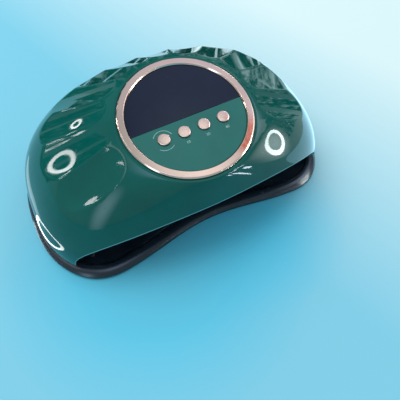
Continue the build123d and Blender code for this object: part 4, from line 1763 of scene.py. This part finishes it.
def glowing():
    """The one-sided glow of all the aids that the gloss shows, with its colour in an attribute."""
    made = Finish("glowing", 0.5)
    light = made.node("ShaderNodeAttribute")
    light.attribute_name = "radiance"
    seen = made.node("ShaderNodeMath")
    seen.operation = "SUBTRACT"
    seen.use_clamp = True
    made.feed(seen.inputs[0], light.outputs["Alpha"])
    made.feed(seen.inputs[1], made.node("ShaderNodeNewGeometry").outputs["Backfacing"])
    made.set(
        Base_Color=(0, 0, 0, 1), Specular_IOR_Level=0, Emission_Strength=1,
        Emission_Color=light.outputs["Color"], Alpha=seen.outputs["Value"],
    )
    return made.material


def let_glow(made, colours, alphas):
    """Give each point of a studio aid its radiance."""
    values = np.ones((len(made.data.vertices), 4))
    values[:, :3] = colours
    values[:, 3] = alphas
    made.data.attributes.new("radiance", "FLOAT_COLOR", "POINT").data.foreach_set("color", values.ravel())
    only_reflected(made)


WHITE = (1, 1, 1)
FADING = -1
OVAL_ROWS, OVAL_CORNERS = 9, 48


def glowing_oval(name, place, radii, radiance, tone, hole):
    """An oval that glows, open in the middle or fading to its rim, seen in gloss only."""
    shares = np.linspace(max(hole, 0.02), 1, OVAL_ROWS)
    long, wide = radii
    rows = [circle(share, 0, OVAL_CORNERS) for share in shares]
    points = [(long * x, wide * y, z) for row in rows for x, y, z in row]
    here = np.arange(len(points)).reshape(OVAL_ROWS, OVAL_CORNERS)
    made = new_piece(name, points, np.roll(quads(here[1:], here[:-1]), 1, axis=1).tolist(), finish(glowing))
    fade = (1 - shares**2) ** 2 if hole == FADING else np.ones(OVAL_ROWS)
    let_glow(made, radiance * np.array(tone), np.repeat(fade, OVAL_CORNERS))
    made.data.transform(place)


def facing_lamp(way, distance, spin):
    """A place in a direction from the lamp, facing it."""
    heading = Vector(way).normalized()
    turn = heading.to_track_quat("-Z", "Y").to_matrix().to_4x4() @ Matrix.Rotation(radians(-spin), 4, "Z")
    return Matrix.Translation(MIDDLE + heading * distance) @ turn


ABOVE_TABLE = 0.0008


def on_table(x, y, spin):
    """A place just above the table."""
    return Matrix.Translation((x, y, ABOVE_TABLE)) @ Matrix.Rotation(radians(spin), 4, "Z")


# Name, direction from the lamp, distance, size, radiance, whether the gloss shows it
SOFT_BOXES = (
    ("ceiling_fill", (-0.20, 0.38, 0.90), 2.6, (2.4, 2.4), 2.2, False),
    ("ceiling_left", (-0.62, 0.20, 0.76), 2.0, (0.6, 0.5), 2.0),
    ("ceiling_right", (0.80, -0.15, 0.58), 2.0, (0.6, 0.5), 1.8),
    ("sheen_right", (0.62, 0.40, 0.70), 2.0, (0.4, 0.3), 5),
    ("lamp_front", (0.515, -0.780, 0.356), 1.6, (0.10, 0.07), 8),
)

# Name, direction from the lamp, distance, spin, radii, radiance, tone, hole
GLOWS = (
    ("ring_left", (-0.732, 0.612, 0.298), 0.7, 25, (0.100, 0.034), 14, WHITE, 0.66),
    ("ring_far", (-0.838, 0.415, 0.348), 0.7, 0, (0.007, 0.036), 12, WHITE, 0.5),
    ("ring_leaf", (-0.485, 0.850, 0.205), 0.7, 43, (0.044, 0.012), 12, WHITE, 0.55),
    ("ring_right", (0.851, -0.512, 0.097), 0.25, 59.5, (0.070, 0.026), 24, (0.9, 1, 1), 0.68),
    ("patch_right", (0.845, -0.525, 0.100), 0.28, 59.5, (0.135, 0.066), 6.0, (0.85, 1, 1), FADING),
    ("lamp_tick", (-0.762, 0.245, 0.599), 1.6, 0, (0.09, 0.008), 14, WHITE, 0),
    ("lamp_dash", (-0.804, -0.045, 0.593), 1.6, 0, (0.02, 0.01), 12, WHITE, 0),
    ("lamp_pair", (-0.540, 0.800, 0.270), 1.6, 0, (0.016, 0.016), 12, WHITE, 0),
    ("lamp_leaf", (-0.829, 0.373, 0.430), 0.7, 0, (0.020, 0.018), 14, WHITE, 0),
    ("streak", (-0.840, -0.462, 0.280), 1.0, -82, (0.58, 0.20), 3.9, (0.7, 0.95, 1.15), FADING),
    ("sheen_tray_right", (0.66, -0.05, 0.75), 1.5, 0, (0.55, 0.45), 5.0, (0.75, 0.85, 1.1), FADING),
    ("sheen_tray_front", (-0.15, -0.22, 0.96), 1.5, 0, (0.60, 0.40), 3.2, (0.7, 0.9, 1.3), FADING),
    ("deck_left", (-0.30, 0.10, 0.95), 2.1, 0, (0.60, 0.45), 1.0, (0.9, 0.95, 1), FADING),
    ("deck_front", (0.27, 0.08, 0.96), 1.9, 0, (0.45, 0.38), 1.15, (0.85, 1, 1.1), FADING),
    ("card_warm", (0.433, 0.064, 0.899), 1.6, 0, (0.085, 0.075), 0.54, (1, 0.30, 0.16), 0),
    ("bar_front", (0.40, -0.84, 0.36), 1.6, 0, (0.11, 0.014), 14, WHITE, 0),
    ("ceiling_glow", (0.36, 0.28, 0.89), 2.0, 0, (0.9, 0.7), 0.7, (0.85, 1.0, 1.3), FADING),
)

# Name, x, y, spin, radii, radiance, tone, hole
LOW_GLOWS = (
    ("low_right", 0.215, 0.00, 0, (0.085, 0.17), 2.2, (0.5, 0.9, 1.15), 0),
    ("low_left", -0.160, 0.050, 0, (0.011, 0.060), 1.5, (0.6, 0.95, 1.1), 0),
    ("ring_low", -0.156, -0.026, -8, (0.018, 0.032), 8.0, (0.9, 1, 1), 0.78),
)

# x, y, spin, radii of the small lights on the table at the right
SPECKS = (
    (0.120, -0.250, 30, (0.020, 0.006)),
    (0.158, -0.228, -20, (0.014, 0.006)),
    (0.104, -0.204, 50, (0.018, 0.004)),
    (0.190, -0.292, 10, (0.034, 0.010)),
    (0.142, -0.262, 0, (0.008, 0.008)),
    (0.082, -0.218, 70, (0.010, 0.003)),
)

# Name, cloth, radius, first and last turn, foot, top, gap, brightness of the lights, seed
DARK_BOARDS = (
    ("dark_right", "board_print", 0.8, -25, 62, 0.0, 0.5, 3.0, 3.0, 4),
    ("dark_far", "board_cloth", 0.8, 62, 150, 0.0, 0.6, 3.0, 3.0, 5),
    ("dark_near", "board_cloth", 0.20, 58, 112, 0.002, 0.085, 0.7, 0.8, 9),
    ("dark_corner", "board_print", 0.20, 15, 57, 0.002, 0.085, 0.7, 0.8, 3),
)

# Scale, end of the pattern's range, tone
CLOTHS = {"board_cloth": (40.0, 0.66, (0.30, 0.46, 0.50)), "board_print": (45.0, 0.60, (1.1, 1.5, 1.6))}


def board_cloth(name):
    """Black cloth of the boards round the lamp, with a loose pattern that glows."""
    scale, stop, tone = CLOTHS[name]
    made = Finish(name, 0.9)
    pattern = made.spread(made.noise(scale, detail=6, rough=0.7), 0, 1, 0.50, stop)
    made.set(
        Base_Color=(0.010, 0.014, 0.015, 1.0), Specular_IOR_Level=0.0, Emission_Strength=1.0,
        Emission_Color=made.mix(pattern, (0.0, 0.0, 0.0), tone),
    )
    return made.material


def strip(radius, turn, width, low, high):
    """The four corners of an upright strip on a circle; turn and width are in degrees."""
    sides = (radians(turn), radians(turn + width))
    return [(radius * cos(side), radius * sin(side), z) for side in sides for z in (low, high)]


def strips(name, points, material):
    """A studio aid of upright strips."""
    return new_piece(name, points, [(k, k + 1, k + 3, k + 2) for k in range(0, len(points), 4)], material)


def dark_boards(name, cloth, radius, start, stop, foot, top, gap, bright, seed):
    """Dark boards on a circle round the lamp that keep its gloss deep, with thin lights in the gaps."""
    boards, lights = [], []
    draw = np.random.default_rng(seed).uniform
    at = start
    while at < stop:
        width = draw(0.4, 1.0) * (stop - start) / 10
        space = draw(0.4, 1.0) * gap
        high = draw(0.8, 1.1) * top
        thin = 0.3 * space
        boards += strip(radius, at, width, foot, high)
        lights += strip(radius + 0.02, at + width + (space - thin) / 2, thin, foot + 0.3 * high, 0.8 * high)
        at += width + space
    only_reflected(strips(name, boards, finish(board_cloth, cloth)))
    shares = np.repeat(draw(0.3, 1.0, len(lights) // 4), 4)
    let_glow(strips(name + "_bars", lights, finish(glowing)), shares[:, None] * bright, 1)


FLOOR_REACH = 4.0
SPECK_RADIANCE, SPECK_TONE = 20.0, (0.85, 0.95, 1.1)
SKY, SKY_STRENGTH = (0.66, 0.90, 1.0, 1), 0.54


class NAILLAMP_OT_stage(Operator):
    """Set the table, the lights and the camera."""

    bl_idname = "nail_lamp.stage"
    bl_label = "Stage"

    def execute(self, context):
        square = [(FLOOR_REACH * x, FLOOR_REACH * y, 0) for x, y in ((-1, -1), (1, -1), (1, 1), (-1, 1))]
        floor = new_piece("table_top", square, [(0, 1, 2, 3)], table_finish())
        for row in SOFT_BOXES:
            soft_box(*row)
        for name, way, distance, spin, *look in GLOWS:
            glowing_oval(name, facing_lamp(way, distance, spin), *look)
        for name, x, y, spin, *look in LOW_GLOWS:
            glowing_oval(name, on_table(x, y, spin), *look)
        for k, (x, y, spin, radii) in enumerate(SPECKS, 1):
            glowing_oval(f"speck_{k}", on_table(x, y, spin), radii, SPECK_RADIANCE, SPECK_TONE, 0)
        for row in DARK_BOARDS:
            dark_boards(*row)
        world = bpy.data.worlds.new("studio")
        world.use_nodes = True
        sky = world.node_tree.nodes["Background"].inputs
        sky["Color"].default_value = SKY
        sky["Strength"].default_value = SKY_STRENGTH
        context.scene.world = world
        context.scene.view_settings.view_transform = "Standard"
        place_camera()
        return {"FINISHED"}


CAMERA_TURNS = (-27.134, 56.794, -1.115)
CAMERA_SPOT = (-0.08079, -0.21629, 0.28046)
FOCAL_PIXELS, PHOTO_PIXELS = 372.07, 400


def place_camera():
    """The photograph's viewpoint, found from the ring, the rim and the tray."""
    turn, rise, roll = map(radians, CAMERA_TURNS)
    right = Vector((cos(turn), sin(turn), 0))
    back = Vector((sin(turn) * cos(rise), -cos(turn) * cos(rise), sin(rise)))
    up = back.cross(right)
    data = bpy.data.cameras.new("photo_camera")
    data.sensor_width = 36.0
    data.lens = FOCAL_PIXELS * data.sensor_width / PHOTO_PIXELS
    camera = put("photo_camera", data)
    rolled = (right * cos(roll) + up * sin(roll), up * cos(roll) - right * sin(roll), back)
    camera.matrix_world = Matrix.Translation(CAMERA_SPOT) @ Matrix(rolled).transposed().to_4x4()
    bpy.context.scene.camera = camera


class NAILLAMP_PT_pieces(Panel):
    """The lamp's pieces, in the order in which they are made."""

    bl_label = "Nail lamp"
    bl_idname = "NAILLAMP_PT_pieces"
    bl_space_type = "VIEW_3D"
    bl_region_type = "UI"
    bl_category = "Nail lamp"

    def draw(self, context):
        for step in STEPS:
            self.layout.operator(step.bl_idname)
        for group in ("housing", "island", "buttons", "tray", "tunnel", "inlet", "screws", "colours"):
            sizes = getattr(context.scene.nail_lamp, group)
            box = self.layout.box()
            box.label(text=group.capitalize())
            for name in sizes.__annotations__:
                box.prop(sizes, name)


SIZE_GROUPS = (
    HousingSizes, IslandSizes, ButtonSizes, TraySizes, TunnelSizes, InletSizes, ScrewSizes, FinishColours,
    NailLampSettings,
)
STEPS = (
    NAILLAMP_OT_stage,
    NAILLAMP_OT_tray,
    NAILLAMP_OT_feet,
    NAILLAMP_OT_magnets,
    NAILLAMP_OT_screws,
    NAILLAMP_OT_bottom_frame,
    NAILLAMP_OT_tunnel,
    NAILLAMP_OT_beads,
    NAILLAMP_OT_inlet,
    NAILLAMP_OT_housing,
    NAILLAMP_OT_ring,
    NAILLAMP_OT_window,
    NAILLAMP_OT_panel,
    NAILLAMP_OT_buttons,
    NAILLAMP_OT_marks,
    NAILLAMP_OT_inner_finishes,
)
CLASSES = (*SIZE_GROUPS, *STEPS, NAILLAMP_PT_pieces)


def register():
    """Register the settings, the steps and the panel."""
    for made in CLASSES:
        bpy.utils.register_class(made)
    bpy.types.Scene.nail_lamp = PointerProperty(type=NailLampSettings)


def unregister():
    """Take the settings, the steps and the panel away again."""
    del bpy.types.Scene.nail_lamp
    for made in reversed(CLASSES):
        bpy.utils.unregister_class(made)


def main():
    """Build the lamp."""
    register()
    for step in STEPS:
        group, name = step.bl_idname.split(".")
        getattr(getattr(bpy.ops, group), name)()


if __name__ == "__main__":
    main()
